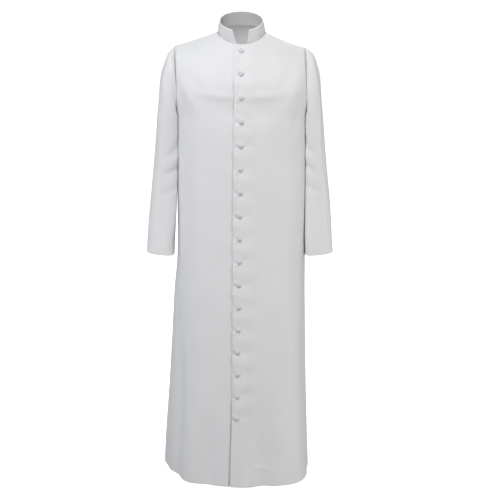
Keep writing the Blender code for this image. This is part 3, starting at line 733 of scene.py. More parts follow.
def body_form(face, side, columns, column, row):
    """The plain form at any place of a panel's grid, and its length from the middle line."""
    armhole_column = columns["neck"] + columns["shoulder"]
    if column <= armhole_column:
        begin_share = column / armhole_column
        chest_share = UNDERARM_SHARE * begin_share
        begin_height = YOKE_HEIGHT
    else:
        part = (column - armhole_column) / columns["underarm"]
        begin_share = 1.0
        chest_share = UNDERARM_SHARE + (1 - UNDERARM_SHARE) * part
        begin_height = armhole_point(side, 90 + 90 * part).z
    if row < SHOULDER_ROWS:
        down = row / SHOULDER_ROWS
        yoke, across = body_point(face, side, begin_share, YOKE_HEIGHT)
        if column == armhole_column:
            return armhole_point(side, 90 * down if face == "front" else -90 * down), across
        top, place = top_point(face, side, columns, column)
        drape = read_row(DRAPES[face], DRAPE_COLUMNS, place)
        third = (yoke.x - top.x) / 3
        leave = top + Vector((third, drape["forward"] * (yoke.y - top.y), -drape["drop"]))
        arrive = yoke + Vector((-third, 0, drape["rise"] * (top.z - yoke.z)))
        return along_curve(top, leave, arrive, yoke, down), across
    if row <= CHEST_ROW:
        down = (row - SHOULDER_ROWS) / UNDERARM_ROWS
        height = begin_height + (CHEST_HEIGHT - begin_height) * down
        return body_point(face, side, begin_share + (chest_share - begin_share) * down, height)
    height = CHEST_HEIGHT + (HEM_HEIGHT - CHEST_HEIGHT) * (row - CHEST_ROW) / SKIRT_ROWS
    return body_point(face, side, chest_share, height)


def steps_between(start, end, size):
    """Even steps from start up to end, none longer than size."""
    count = max(1, math.ceil(abs(end - start) / size - 1e-6))
    return [start + (end - start) * step / count for step in range(count)]


def panel_rows(hem_radius):
    """Rows of a panel's grid, in rows of the solid, close enough for the creases."""
    shoulder = steps_between(0, SHOULDER_ROWS, SHOULDER_ROWS * DOWN_STEP / SHOULDER_LENGTH)
    under = steps_between(SHOULDER_ROWS, CHEST_ROW, UNDERARM_ROWS * DOWN_STEP / (YOKE_HEIGHT - CHEST_HEIGHT))
    row_height = (CHEST_HEIGHT - HEM_HEIGHT) / SKIRT_ROWS
    last = LAST_ROW - hem_radius / row_height
    skirt = steps_between(CHEST_ROW, last, DOWN_STEP / row_height)
    return shoulder + under + skirt + [last]


def panel_columns(columns, fine_edge):
    """Columns of a panel's grid, closest at the buttoned edge."""
    armhole_column = columns["neck"] + columns["shoulder"]
    column_width = YOKE_WIDTH / armhole_column
    places = []
    begin = 0.0
    if fine_edge:
        begin = EDGE_FINE / column_width
        places += steps_between(0.0, begin, FINE_STEP / column_width)
    places += steps_between(begin, armhole_column, ACROSS_STEP / column_width)
    places += steps_between(armhole_column, armhole_column + columns["underarm"], ACROSS_STEP / column_width)
    return places + [armhole_column + columns["underarm"]]


def cloth_grid(columns, rows):
    """A flat sheet of quads, with its points by column and row."""
    mesh = bmesh.new()
    bmesh.ops.create_grid(mesh, x_segments=columns, y_segments=rows, size=0.5)
    points = {}
    for vert in mesh.verts:
        column = round((vert.co.x + 0.5) * columns)
        row = round((0.5 - vert.co.y) * rows)
        points[column, row] = vert
    return mesh, points


def set_cloth_uv(mesh, places):
    """Puts every point's place on the flat cloth, in metres, in the UV map that the weave follows."""
    layer = mesh.loops.layers.uv.new("cloth")
    for face in mesh.faces:
        for loop in face.loops:
            loop[layer].uv = places[loop.vert]


def crease_depths(creases, across, heights, girth=None):
    """How deep the creases go at each place. A girth makes the cloth a tube of that length round."""
    depths = np.zeros(len(across))
    for row in creases:
        crease = dict(zip(CREASE_COLUMNS, row))
        start = np.array((crease["from_across"], crease["from_height"]))
        way = np.array((crease["to_across"], crease["to_height"])) - start
        length = np.hypot(*way)
        along, beside = way / length, np.array((-way[1], way[0])) / length
        from_start = across - start[0]
        if girth:
            from_start = (from_start + girth / 2) % girth - girth / 2
        offsets = np.stack((from_start, heights - start[1]), axis=1)
        share = offsets @ along / length
        swell = np.clip(4 * share * (1 - share), 0, 1)
        lean = crease["bow"] * swell
        away = (offsets @ beside - lean) / crease["half_width"]
        depths += crease["depth"] * swell ** CREASE_SWELL * np.exp(-away * away)
    return depths


def waves(points):
    """The broad unevenness of the cloth at each point."""
    stretched = [Vector([at * share for at, share in zip(point, WAVE_STRETCH)]) for point in points]
    lifts = np.zeros(len(points))
    for size, height in WAVES:
        lifts += [noise.noise(point / size) * height for point in stretched]
    return lifts


def outward_normals(mesh, points, shown, facing):
    """Each point's outward direction, with the point shown turned the way that it must face."""
    mesh.normal_update()
    if points[shown].normal.dot(facing) < 0:
        bmesh.ops.reverse_faces(mesh, faces=mesh.faces)
        mesh.normal_update()
    return {key: vert.normal.copy() for key, vert in points.items()}


def add_piece(name, mesh, *materials):
    """The mesh as an object of the scene, with its materials in their order."""
    data = bpy.data.meshes.new(name)
    mesh.to_mesh(data)
    mesh.free()
    for material in materials:
        data.materials.append(material)
    piece = bpy.data.objects.new(name, data)
    bpy.context.scene.collection.objects.link(piece)
    return piece


def finish_cloth(name, mesh, thickness, material, nodes):
    """The shell as an object with its thickness to the inside, standing for its node of the frame."""
    piece = add_piece(name, mesh, material, cloth_reverse_shade())
    piece.data.shade_smooth()
    wall = piece.modifiers.new("Cloth thickness", "SOLIDIFY")
    wall.thickness = thickness
    wall.offset = -1.0
    # The inner faces take the reverse material, a darker grey: painted shade inside the robe
    wall.material_offset = 1
    wall.use_even_offset = False
    wall.use_quality_normals = True
    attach(piece, "root")
    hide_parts(*nodes)
    return piece


def turn_under(points, normals, edge, step, radius, count, down):
    """Turns an edge under: round a fold of the radius and back inside along the cloth.

    Edge lists the keys of the last points outside, step is the way from one to the next beyond it,
    and down is the direction in which the fold bulges.
    """
    for column, row in edge:
        outside = points[column, row].co.copy()
        inwards = -normals[column, row]
        for fold in range(1, FOLD_STEPS + 1):
            angle = math.pi * fold / FOLD_STEPS
            beyond = (column + step[0] * fold, row + step[1] * fold)
            bulge = down((column, row)) * radius * math.sin(angle)
            points[beyond].co = outside + inwards * radius * (1 - math.cos(angle)) + bulge
        for back in range(1, count + 1):
            beyond = (column + step[0] * (FOLD_STEPS + back), row + step[1] * (FOLD_STEPS + back))
            source = (column - step[0] * back, row - step[1] * back)
            points[beyond].co = points[source].co - normals[source] * 2 * radius


def body_shell(face, side, cloth):
    """One front, or the whole back where side is 0, from its top edge to its turned hem."""
    lapped = face == "front"
    spans = FRONT_COLUMNS if lapped else BACK_COLUMNS
    node = f"front_{side_name(side)}" if lapped else "back"
    radius = cloth.thickness * TURN_RADIUS_SHARE
    columns = panel_columns(spans, fine_edge=lapped)
    rows = panel_rows(radius)
    last_row = len(rows) - 1
    hem_rows = FOLD_STEPS + round(cloth.hem_depth / DOWN_STEP)
    lap_columns = FOLD_STEPS + round(LAP_RETURN / FINE_STEP) if lapped else 0
    signed = [(side, column) for column in columns]
    if not lapped:
        signed = [(-1, column) for column in reversed(columns)] + [(1, column) for column in columns[1:]]
    mesh, points = cloth_grid(lap_columns + len(signed) - 1, len(rows) + hem_rows - 1)
    points = {(column - lap_columns, row): vert for (column, row), vert in points.items()}
    trim_to_armholes(mesh, points, signed, rows, spans)

    keys = [key for key in points if key[0] >= 0 and key[1] <= last_row]
    flat, across = {}, {}
    for key in keys:
        here, place = signed[key[0]]
        flat[key], across[key] = body_form(face, here, spans, place, rows[key[1]])
    for column, row in points:
        points[column, row].co = flat[max(column, 0), min(row, last_row)]
    set_cloth_uv(mesh, cloth_places(points, flat, across, last_row, side))
    shown = (len(signed) // 3, last_row // 2)
    normals = outward_normals(mesh, points, shown, Vector((0, -1 if lapped else 1, 0)))

    creases = FRONT_CREASES if lapped else BACK_CREASES
    if lapped and side > 0:
        creases = creases + tuple(button_creases())
    depths = crease_depths(
        creases, np.array([across[key] for key in keys]), np.array([flat[key].z for key in keys]),
    )
    lifts = waves([flat[key] for key in keys])
    distances = seam_distances(keys, flat, both_sides=not lapped)
    for key, depth, lift, distance in zip(keys, depths, lifts, distances):
        outwards = normals[key]
        push = (lift - depth) * smooth_step(distance / SEAM_CALM)
        push -= SEAM_ROLL * math.exp(-((distance / SEAM_REACH) ** 2))
        moved = flat[key] + outwards * push
        if lapped and side > 0:
            moved += lap_raise(signed[key[0]][1], rows[key[1]], flat[key].z, outwards)
        elif lapped:
            moved -= outwards * lap_groove(across[key], flat[key].z)
        points[key].co = moved

    edge = [(column, last_row) for column in range(len(signed))]
    turn_under(points, normals, edge, (0, 1), radius, hem_rows - FOLD_STEPS, lambda key: Vector((0, 0, -1)))
    if lapped:
        edge = [(0, row) for row in range(last_row + 1)]

        def beyond(key):
            return (points[key].co - points[key[0] + 1, key[1]].co).normalized()

        turn_under(points, normals, edge, (-1, 0), radius, lap_columns - FOLD_STEPS, beyond)
    piece = finish_cloth(f"{node}_cloth", mesh, cloth.thickness, woven_cloth(), [node])
    return piece


def trim_to_armholes(mesh, points, signed, rows, spans):
    """Takes away what lies beyond the armholes, and the corner where the lap and the hem both turn."""
    armhole_column = spans["neck"] + spans["shoulder"]
    gone = []
    for column, row in points:
        in_corner = column < 0 and row >= len(rows)
        if in_corner:
            gone.append((column, row))
        elif column >= 0 and row < len(rows):
            if signed[column][1] > armhole_column and rows[row] < SHOULDER_ROWS:
                gone.append((column, row))
    bmesh.ops.delete(mesh, geom=[points.pop(key) for key in gone], context="VERTS")


def cloth_places(points, flat, across, last_row, side):
    """Every point's place on the flat cloth: its length across, and its length up from the hem."""
    up = {}
    for column, row in sorted(flat, key=lambda key: -key[1]):
        below = (column, row + 1)
        up[column, row] = up[below] + (flat[column, row] - flat[below]).length if below in up else 0.0
    places = {}
    for column, row in points:
        nearest = (max(column, 0), min(row, last_row))
        places[points[column, row]] = (
            across[nearest] - (nearest[0] - column) * FINE_STEP * side,
            up[nearest] - (row - nearest[1]) * DOWN_STEP,
        )
    return places


def seam_distances(keys, flat, both_sides):
    """How far each point is from the nearest seam of its piece, along its row or its column."""
    last_in_row, first_in_row, top_of_column = {}, {}, {}
    for column, row in keys:
        last_in_row[row] = max(column, last_in_row.get(row, column))
        first_in_row[row] = min(column, first_in_row.get(row, column))
        top_of_column[column] = min(row, top_of_column.get(column, row))
    distances = []
    for column, row in keys:
        partners = [(last_in_row[row], row), (column, top_of_column[column])]
        if both_sides:
            partners.append((first_in_row[row], row))
        distances.append(min((flat[column, row] - flat[partner]).length for partner in partners))
    return distances


def lap_raise(place, row, height, outwards):
    """How the left front is raised off the right front that it laps over."""
    below_neck = min(row, 1.0)
    span = 1 + below_neck
    opening = smooth_step((LAP_OPENS_AT - height) / (LAP_OPENS_AT - HEM_HEIGHT))
    full = LAP_LIFT + LAP_OPENING * opening + LAP_SCALLOP * between_buttons(height) * below_neck
    raised = Vector((outwards.x, outwards.y, outwards.z * below_neck))
    return raised / raised.dot(outwards) * full * smooth_step((2 * span - place) / span)


def lap_groove(across, height):
    """How deep the right front lies beside the edge of the left one."""
    away = (across + start_of("front", 1, height)) / LAP_GROOVE_WIDTH
    opened = smooth_step((LAP_GROOVE_FROM - height) / (LAP_GROOVE_FROM - LAP_GROOVE_FULL))
    return (LAP_GROOVE + LAP_GROOVE_OPEN * opened) * math.exp(-away * away)


def between_buttons(height):
    """0 at each button and 1 halfway to the next."""
    heights = [spot.z for spot, _ in button_places()]
    if not heights[-1] < height < heights[0]:
        return 0.0
    below = next(index for index, button in enumerate(heights) if button <= height)
    share = (heights[below - 1] - height) / (heights[below - 1] - heights[below])
    return math.sin(math.pi * share) ** 2


def button_creases():
    """The pulls beside every button, as creases of the left front."""
    creases = []
    for index, (spot, _) in enumerate(button_places()):
        for row in BUTTON_PULLS[index % len(BUTTON_PULLS)]:
            pull = dict(zip(PULL_COLUMNS, row))
            creases.append((
                pull["from_across"], spot.z + pull["from_up"], pull["to_across"], spot.z + pull["to_up"],
                0.0, pull["half_width"], pull["depth"],
            ))
    return creases


def sleeve_form(side, angle, place):
    """The plain sleeve at an angle round it and a place down its rings, 0 at the armhole."""
    def at_ring(ring):
        ring = min(max(ring, 0), len(SLEEVE_RINGS))
        if ring == 0:
            point = armhole_point(side, angle)
            point.x += side * ARMHOLE_GAP
            return point
        return ring_point(side, dict(zip(SLEEVE_COLUMNS, SLEEVE_RINGS[ring - 1])), angle)

    ring = min(int(place), len(SLEEVE_RINGS) - 1)
    share = place - ring
    before, start, end, after = (at_ring(ring + offset) for offset in (-1, 0, 1, 2))
    leave = start + (end - before) / 6
    arrive = end - (after - start) / 6
    point = along_curve(start, leave, arrive, end, share)
    resting = smooth_step(place / REST_GROWS) * smooth_step((point.z - REST_ENDS[side]) / REST_FADE)
    for middle, spread, depth in SLEEVE_RESTS:
        away = ((angle - middle + 180) % 360 - 180) / spread
        point.x -= side * depth[side] * resting * math.exp(-away * away)
    return point


def sleeve_rows(side, radius):
    rows = []
    for ring in range(len(SLEEVE_RINGS)):
        reach = (sleeve_form(side, 90, ring + 1) - sleeve_form(side, 90, ring)).length
        end = ring + 1
        if ring == len(SLEEVE_RINGS) - 1:
            end -= radius / reach
        rows += steps_between(ring, end, DOWN_STEP / reach)
    return rows + [end]


def sleeve_shell(side, cloth):
    """One sleeve: a tube from the armhole to the cuff's turned hem, with its seam under the arm."""
    radius = cloth.thickness * TURN_RADIUS_SHARE
    rows = sleeve_rows(side, radius)
    last_row = len(rows) - 1
    last_column = SLEEVE_FINE_COLUMNS
    cuff_rows = FOLD_STEPS + round(cloth.cuff_depth / DOWN_STEP)
    mesh, points = cloth_grid(last_column, last_row + cuff_rows)
    to_length = SLEEVE_GIRTH / 360
    angles = [360 * column / last_column - 180 for column in range(last_column + 1)]
    flat, places = {}, {}
    for (column, row), vert in points.items():
        flat[column, row] = sleeve_form(side, angles[column], rows[min(row, last_row)])
        vert.co = flat[column, row]
        down = flat[column, row].z - max(0, row - last_row) * DOWN_STEP
        places[vert] = (angles[column] * to_length, down)
    set_cloth_uv(mesh, places)
    outer = [vert for (column, row), vert in points.items() if row <= last_row]
    bmesh.ops.remove_doubles(mesh, verts=outer, dist=MERGE_DISTANCE)
    for row in range(last_row + 1):
        first, last = points[0, row], points[last_column, row]
        points[0, row] = points[last_column, row] = first if first.is_valid else last
    normals = outward_normals(mesh, points, (last_column * 3 // 4, last_row // 2), Vector((0, -1, 0)))

    turn, lag = (0.0, 0.0) if side > 0 else SLEEVE_MIRROR
    creases = []
    for start, start_height, end, end_height, bow, half_width, depth in SLEEVE_CREASES:
        across = (start * to_length, end * to_length, bow * to_length)
        creases.append((across[0], start_height, across[1], end_height, across[2], half_width, depth))
    keys = [(column, row) for column in range(last_column) for row in range(last_row + 1)]
    across = np.array([(angles[column] + turn) * to_length for column, row in keys])
    heights = np.array([flat[key].z + lag for key in keys])
    depths = crease_depths(creases, across, heights, SLEEVE_GIRTH)
    lifts = waves([flat[key] for key in keys])
    for key, depth, lift in zip(keys, depths, lifts):
        from_armhole = (flat[key] - flat[key[0], 0]).length
        from_seam = (180 - abs(angles[key[0]])) * to_length
        push = (lift - depth) * smooth_step(from_armhole / SEAM_CALM)
        tuck = ARMHOLE_TUCK * math.exp(-((from_armhole / SEAM_REACH) ** 2))
        push -= tuck + SLEEVE_SEAM_ROLL * math.exp(-((from_seam / SEAM_REACH) ** 2))
        points[key].co = flat[key] + normals[key] * push - Vector((side * tuck, 0, 0))
    edge = [(column, last_row) for column in range(last_column + 1)]
    turn_under(points, normals, edge, (0, 1), radius, cuff_rows - FOLD_STEPS, lambda key: Vector((0, 0, -1)))
    bmesh.ops.remove_doubles(mesh, verts=mesh.verts, dist=MERGE_DISTANCE)
    node = f"sleeve_{side_name(side)}"
    piece = finish_cloth(f"{node}_cloth", mesh, cloth.thickness, woven_cloth(), [node])
    return piece


def collar_shell(cloth):
    """The standing collar: a stiffened band with rounded edges, open at the front."""
    mesh, points = cloth_grid(COLLAR_FINE_COLUMNS, COLLAR_FINE_ROWS)
    keys = list(points)
    shares = [(column / COLLAR_FINE_COLUMNS, 1 - row / COLLAR_FINE_ROWS) for column, row in keys]
    set_cloth_uv(mesh, {
        points[key]: (COLLAR_LENGTH * share, COLLAR_HEIGHT * up) for key, (share, up) in zip(keys, shares)
    })
    across, heights = (np.array(shares) * (COLLAR_LENGTH, COLLAR_HEIGHT)).T
    for key, (share, up), depth in zip(keys, shares, crease_depths(COLLAR_CREASES, across, heights)):
        point, outwards = collar_point(share, up)
        tuck = smooth_step(1 - up / COLLAR_TUCK_SHARE)
        roll = COLLAR_ROLL * math.sin(math.pi * max(0.0, up - COLLAR_ROLL_FROM) / (1 - COLLAR_ROLL_FROM))
        out = roll - depth - COLLAR_TUCK_IN * tuck
        points[key].co = point + outwards * out - Vector((0, 0, COLLAR_TUCK_DOWN * tuck))
    outward_normals(mesh, points, (0, COLLAR_FINE_ROWS // 2), Vector((0, -1, 0)))
    # The top rows take the lighter edge cloth: a painted highlight where light catches the edge
    edge = {points[column, row] for column, row in keys if row <= COLLAR_HIGHLIGHT_ROWS}
    for face in mesh.faces:
        face.material_index = 2 if edge.issuperset(face.verts) else 0
    # The band takes a darker copy of the white cloth: painted shade
    piece = finish_cloth("collar_band", mesh, COLLAR_WALL, collar_shaded_cloth(), ["collar"])
    piece.data.materials.append(collar_edge_highlight_cloth())
    # Inner faces of the top rows take the darker reverse as well: painted shade
    piece.data.materials.append(cloth_reverse_shade())
    rim = piece.modifiers.new("Rounded edges", "BEVEL")
    rim.width = COLLAR_EDGE_ROUND
    rim.segments = COLLAR_EDGE_SEGMENTS
    rim.limit_method = "ANGLE"
    rim.angle_limit = math.radians(COLLAR_EDGE_ANGLE)
    return piece


def button_shape(name, spot, outwards, trim, material):
    """A covered button: a cloth-drawn dome with a gathered rim, on a short neck of thread."""
    mesh = bmesh.new()
    radius = trim.button_diameter / 2
    profile = []
    for step in range(BUTTON_DOME_STEPS + 1):
        turn = math.radians(BUTTON_DOME_TURN) * step / BUTTON_DOME_STEPS
        up = BUTTON_RIM_HEIGHT + (BUTTON_TOP - BUTTON_RIM_HEIGHT) * math.cos(turn)
        profile.append((radius * math.sin(turn), up))
    profile += BUTTON_SHANK
    verts = [mesh.verts.new((across, 0, up)) for across, up in profile]
    edges = [mesh.edges.new(pair) for pair in zip(verts, verts[1:])]
    bmesh.ops.spin(
        mesh, geom=verts + edges, cent=(0, 0, 0), axis=(0, 0, 1), angle=math.tau,
        steps=BUTTON_TURNS, use_merge=True,
    )
    bmesh.ops.remove_doubles(mesh, verts=mesh.verts, dist=MERGE_DISTANCE)
    for vert in mesh.verts:
        below = smooth_step((BUTTON_RIM_HEIGHT + GATHER_RISE - vert.co.z) / GATHER_FADE)
        under = below * smooth_step((vert.co.xy.length - GATHER_FROM) / GATHER_GROWS)
        gather = math.cos(math.atan2(vert.co.y, vert.co.x) * BUTTON_GATHERS)
        vert.co.z += BUTTON_GATHER_DEPTH * gather * under
    foot = [edge for edge in mesh.edges if edge.is_boundary]
    bmesh.ops.holes_fill(mesh, edges=foot)
    bmesh.ops.recalc_face_normals(mesh, faces=mesh.faces)
    turn = outwards.to_track_quat("Z", "Y").to_matrix()
    bmesh.ops.rotate(mesh, verts=mesh.verts, cent=(0, 0, 0), matrix=turn)
    bmesh.ops.translate(mesh, verts=mesh.verts, vec=spot + outwards * BUTTON_GAP)
    piece = add_piece(name, mesh, material)
    piece.data.shade_smooth()
    smooth = piece.modifiers.new("Smooth cover", "SUBSURF")
    smooth.levels = 1
    smooth.render_levels = 1
    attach(piece, "root")
    return piece


def surface_of(piece):
    """The outer sheet of a cloth piece, to sew on."""
    mesh = bmesh.new()
    mesh.from_mesh(piece.data)
    tree = BVHTree.FromBMesh(mesh)
    mesh.free()
    return tree


def sewn_line(surface, rays):
    """Where a line of rays meets the cloth: each spot and its outward direction."""
    line = []
    for origin, towards in rays:
        spot, outwards, _, _ = surface.ray_cast(origin, towards, RAY_LIMIT)
        if spot is not None:
            line.append((spot, outwards if outwards.dot(towards) < 0 else -outwards))
    return line


@lru_cache(maxsize=None)
def stitch_shape():
    """A short rounded run of thread, of radius 1, that every stitch is a copy of."""
    mesh = bmesh.new()
    round_it, along_it = STITCH_SEGMENTS
    bmesh.ops.create_uvsphere(mesh, u_segments=round_it, v_segments=along_it, radius=1.0)
    shape = bpy.data.meshes.new("stitch shape")
    mesh.to_mesh(shape)
    mesh.free()
    return shape, [vert.co.copy() for vert in shape.vertices]


def add_stitch(mesh, middle, along, outwards, length, width):
    """One stitch, half sunk in the cloth."""
    beside = outwards.cross(along).normalized()
    outwards = along.cross(beside)
    turn = Matrix((beside * width / 2, outwards * width / 2, along * length / 2)).transposed()
    shape, points = stitch_shape()
    for vert, point in zip(shape.vertices, points):
        vert.co = turn @ point + middle
    mesh.from_mesh(shape)


def sew(name, lines, trim):
    """Rows of lockstitch along lines on the cloth, joined in one piece."""
    mesh = bmesh.new()
    for line in lines:
        wanted = trim.stitch_pitch / 2
        travelled = 0.0
        for (before, _), (after, outwards) in zip(line, line[1:]):
            way = after - before
            if way.length > 4 * DOWN_STEP or way.length == 0:
                continue
            while travelled + way.length >= wanted:
                middle = before + way.normalized() * (wanted - travelled)
                add_stitch(mesh, middle, way.normalized(), outwards, trim.stitch_length, trim.stitch_width)
                wanted += trim.stitch_pitch
            travelled += way.length
    return finish_thread(name, mesh)


def finish_thread(name, mesh):
    """The stitches as one piece. It fails where they met no cloth, because an empty piece shows nothing."""
    if not mesh.faces:
        raise RuntimeError(f"{name} met no cloth")
    piece = add_piece(name, mesh, sewing_thread())
    piece.data.shade_smooth()
    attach(piece, "root")
    return piece


def ray_at(point, outwards):
    """A ray that meets the cloth from outside, near a point."""
    return point + outwards * RAY_REACH, -outwards


def hem_rays(face, side, spans, height):
    """Rays at the body's cloth, level with a line of stitches above the hem."""
    row = CHEST_ROW + SKIRT_ROWS * (CHEST_HEIGHT - height) / (CHEST_HEIGHT - HEM_HEIGHT)
    last = sum(spans.values())
    rays = []
    count = round(HEM_RAYS_WIDTH / DOWN_STEP)
    for step in range(count + 1):
        column = last * step / count
        point, _ = body_form(face, side, spans, column, row)
        ahead, _ = body_form(face, side, spans, min(column + HEM_TANGENT_COLUMNS, last), row)
        behind, _ = body_form(face, side, spans, max(column - HEM_TANGENT_COLUMNS, 0.0), row)
        along = (ahead - behind).normalized()
        outwards = Vector((along.y, -along.x, 0))
        if outwards.dot(point) < 0:
            outwards = -outwards
        rays.append(ray_at(point, outwards))
    return rays


def cuff_rays(side, height_above):
    last_ring = len(SLEEVE_RINGS)
    reach = (sleeve_form(side, 90, last_ring) - sleeve_form(side, 90, last_ring - 1)).length
    place = last_ring - height_above / reach
    ring = [sleeve_form(side, 360 * step / CUFF_RAYS, place) for step in range(CUFF_RAYS)]
    centre = sum(ring, Vector()) / CUFF_RAYS
    return [ray_at(point, (point - centre).normalized()) for point in ring + ring[:1]]


def collar_rays(up):
    count = COLLAR_FINE_COLUMNS * 2
    shares = [COLLAR_STITCH_ENDS + (1 - 2 * COLLAR_STITCH_ENDS) * step / count for step in range(count + 1)]
    return [ray_at(*collar_point(share, up)) for share in shares]


def collar_end_rays(share):
    count = COLLAR_END_STEPS
    ups = [COLLAR_STITCH_FOOT + COLLAR_END_HEIGHT * step / count for step in range(count + 1)]
    return [ray_at(*collar_point(share, up)) for up in ups]


def placket_rays(across):
    """Rays down the left front, a distance inside its buttoned edge."""
    rays = []
    height = NECK_FRONT_HEIGHT - PLACKET_BELOW_NECK
    while height > HEM_HEIGHT + PLACKET_ABOVE_HEM:
        middle = read_row(SECTIONS, SECTION_COLUMNS, height)["middle"]
        edge = middle - start_of("front", 1, height)
        rays.append((Vector((edge + across, PLACKET_RAYS_FROM, height)), Vector((0, 1, 0))))
        height -= DOWN_STEP
    return rays


def thread_bar(mesh, surface, origin, length):
    """An upright bar of thread, where a ray from the front meets the cloth."""
    for place, facing in sewn_line(surface, [(origin, Vector((0, 1, 0)))]):
        up = Vector((0, 0, 1)) - facing * facing.z
        add_stitch(mesh, place, up.normalized(), facing, length, BUTTONHOLE_THREAD)


def buttonholes(surface):
    """A worked slot under each button: thread bars side by side round a slit, with bars at both ends."""
    mesh = bmesh.new()
    end_length = 2 * (BUTTONHOLE_LIP + BUTTONHOLE_BAR_LENGTH / 2)
    for spot, _ in button_places():
        for step in range(BUTTONHOLE_BARS):
            share = step / (BUTTONHOLE_BARS - 1)
            across = BUTTONHOLE_FROM + (BUTTONHOLE_TO - BUTTONHOLE_FROM) * share
            for lip in (-1, 1):
                origin = spot + Vector((across, -RAY_REACH, lip * BUTTONHOLE_LIP))
                thread_bar(mesh, surface, origin, BUTTONHOLE_BAR_LENGTH)
        for end in (BUTTONHOLE_FROM, BUTTONHOLE_TO):
            for lift in (-1, 0, 1):
                origin = spot + Vector((end + lift * BUTTONHOLE_THREAD, -RAY_REACH, 0))
                thread_bar(mesh, surface, origin, end_length)
    return finish_thread("buttonhole_thread", mesh)


def new_material(name):
    """A material with its node tree and its shader."""
    material = bpy.data.materials.new(name)
    material.use_nodes = True
    return material, material.node_tree, material.node_tree.nodes["Principled BSDF"]


def unevenness(nodes, links, coordinates, scale, detail, place):
    clouds = nodes.new("ShaderNodeTexNoise")
    clouds.inputs["Scale"].default_value = scale
    clouds.inputs["Detail"].default_value = detail
    clouds.location = place
    links.new(coordinates, clouds.inputs["Vector"])
    return clouds.outputs["Fac"]


def mix_height(nodes, links, first, second, share, place):
    mix = nodes.new("ShaderNodeMix")
    mix.data_type = "FLOAT"
    mix.inputs["Factor"].default_value = share
    mix.location = place
    links.new(first, mix.inputs["A"])
    links.new(second, mix.inputs["B"])
    return mix.outputs["Result"]


def thread_wave(nodes, links, coordinates, turn, pitch, place):
    """Ridges of thread side by side, a pitch apart, turned on the cloth by an angle."""
    mapping = nodes.new("ShaderNodeMapping")
    mapping.inputs["Rotation"].default_value = (0, 0, math.radians(turn))
    mapping.location = (place[0] - 200, place[1])
    wave = nodes.new("ShaderNodeTexWave")
    wave.wave_type = "BANDS"
    wave.bands_direction = "X"
    wave.inputs["Scale"].default_value = WAVE_TURN / pitch
    wave.inputs["Distortion"].default_value = WAVE_DISTORTION
    wave.inputs["Detail"].default_value = 1.0
    wave.inputs["Detail Scale"].default_value = WAVE_DETAIL_SCALE
    wave.location = place
    links.new(coordinates, mapping.inputs["Vector"])
    links.new(mapping.outputs["Vector"], wave.inputs["Vector"])
    return wave.outputs["Fac"]


def cloth_finish(name, cloth, colour, on_object=False):
    """White woven cloth: fine twill threads, faint slubs and a soft sheen."""
    found = bpy.data.materials.get(name)
    if found:
        return found
    material, tree, shader = new_material(name)
    nodes, links = tree.nodes, tree.links
    place = nodes.new("ShaderNodeTexCoord")
    place.location = (-1500, 0)
    coordinates = place.outputs["Object"]
    if not on_object:
        flat_place = nodes.new("ShaderNodeUVMap")
        flat_place.uv_map = "cloth"
        flat_place.location = (-1500, -260)
        coordinates = flat_place.outputs["UV"]
    warp, weft, twill = (
        thread_wave(nodes, links, coordinates, turn, cloth.thread_pitch * pitch, (-900, -200 - 260 * index))
        for index, (turn, pitch) in enumerate(WEAVE)
    )
    threads = mix_height(nodes, links, warp, weft, WEFT_SHARE, (-640, -320))
    weave = mix_height(nodes, links, threads, twill, TWILL_SHARE, (-440, -460))

    slubs = unevenness(nodes, links, place.outputs["Object"], SLUB_SCALE, 3.0, (-900, 420))
    clouds = unevenness(nodes, links, place.outputs["Object"], CLOUD_SCALE, 2.0, (-900, 160))
    blend = mix_height(nodes, links, slubs, clouds, CLOUD_SHARE, (-640, 300))

    tone = nodes.new("ShaderNodeValToRGB")
    tone.location = (-420, 300)
    low, high = tone.color_ramp.elements
    low.position, high.position = TONE_BETWEEN
    low.color = (*(channel * CLOTH_SHADE for channel in colour), 1.0)
    high.color = (*colour, 1.0)
    links.new(blend, tone.inputs["Fac"])
    links.new(tone.outputs["Color"], shader.inputs["Base Color"])

    rough = nodes.new("ShaderNodeMapRange")
    rough.inputs["To Min"].default_value = cloth.roughness - ROUGHNESS_BELOW
    rough.inputs["To Max"].default_value = cloth.roughness + ROUGHNESS_ABOVE
    rough.location = (-420, 0)
    links.new(blend, rough.inputs["Value"])
    links.new(rough.outputs["Result"], shader.inputs["Roughness"])

    bump = nodes.new("ShaderNodeBump")
    bump.inputs["Strength"].default_value = WEAVE_STRENGTH
    bump.inputs["Distance"].default_value = cloth.thread_pitch * WEAVE_HEIGHT
    bump.location = (-220, -420)
    links.new(weave, bump.inputs["Height"])
    links.new(bump.outputs["Normal"], shader.inputs["Normal"])

    shader.inputs["Specular IOR Level"].default_value = CLOTH_SPECULAR
    shader.inputs["Sheen Weight"].default_value = cloth.sheen
    shader.inputs["Sheen Roughness"].default_value = SHEEN_ROUGHNESS
    shader.inputs["Sheen Tint"].default_value = (1.0, 1.0, 1.0, 1.0)
    return material


def woven_cloth():
    cloth = bpy.context.scene.robe_cloth
    return cloth_finish("white twill", cloth, cloth.colour)


# A darker copy of the white cloth for the collar band: painted shade
def collar_shaded_cloth():
    cloth = bpy.context.scene.robe_cloth
    return cloth_finish("stiffened white twill", cloth, cloth.collar_shaded_colour)


# A lighter copy of the cloth for the collar's top edge: a painted highlight
def collar_edge_highlight_cloth():
    cloth = bpy.context.scene.robe_cloth
    return cloth_finish("pressed edge of the collar", cloth, cloth.edge_highlight_colour)


# A darker grey copy of the cloth for all inner faces: painted shade inside the robe and collar
def cloth_reverse_shade():
    cloth = bpy.context.scene.robe_cloth
    return cloth_finish("reverse of the twill", cloth, cloth.inside_shade_colour)


# A darker copy of the white cloth for the buttons: painted shade
def shaded_button_cover():
    cloth = bpy.context.scene.robe_cloth
    return cloth_finish("drawn button cloth", cloth, cloth.button_shaded_colour, on_object=True)


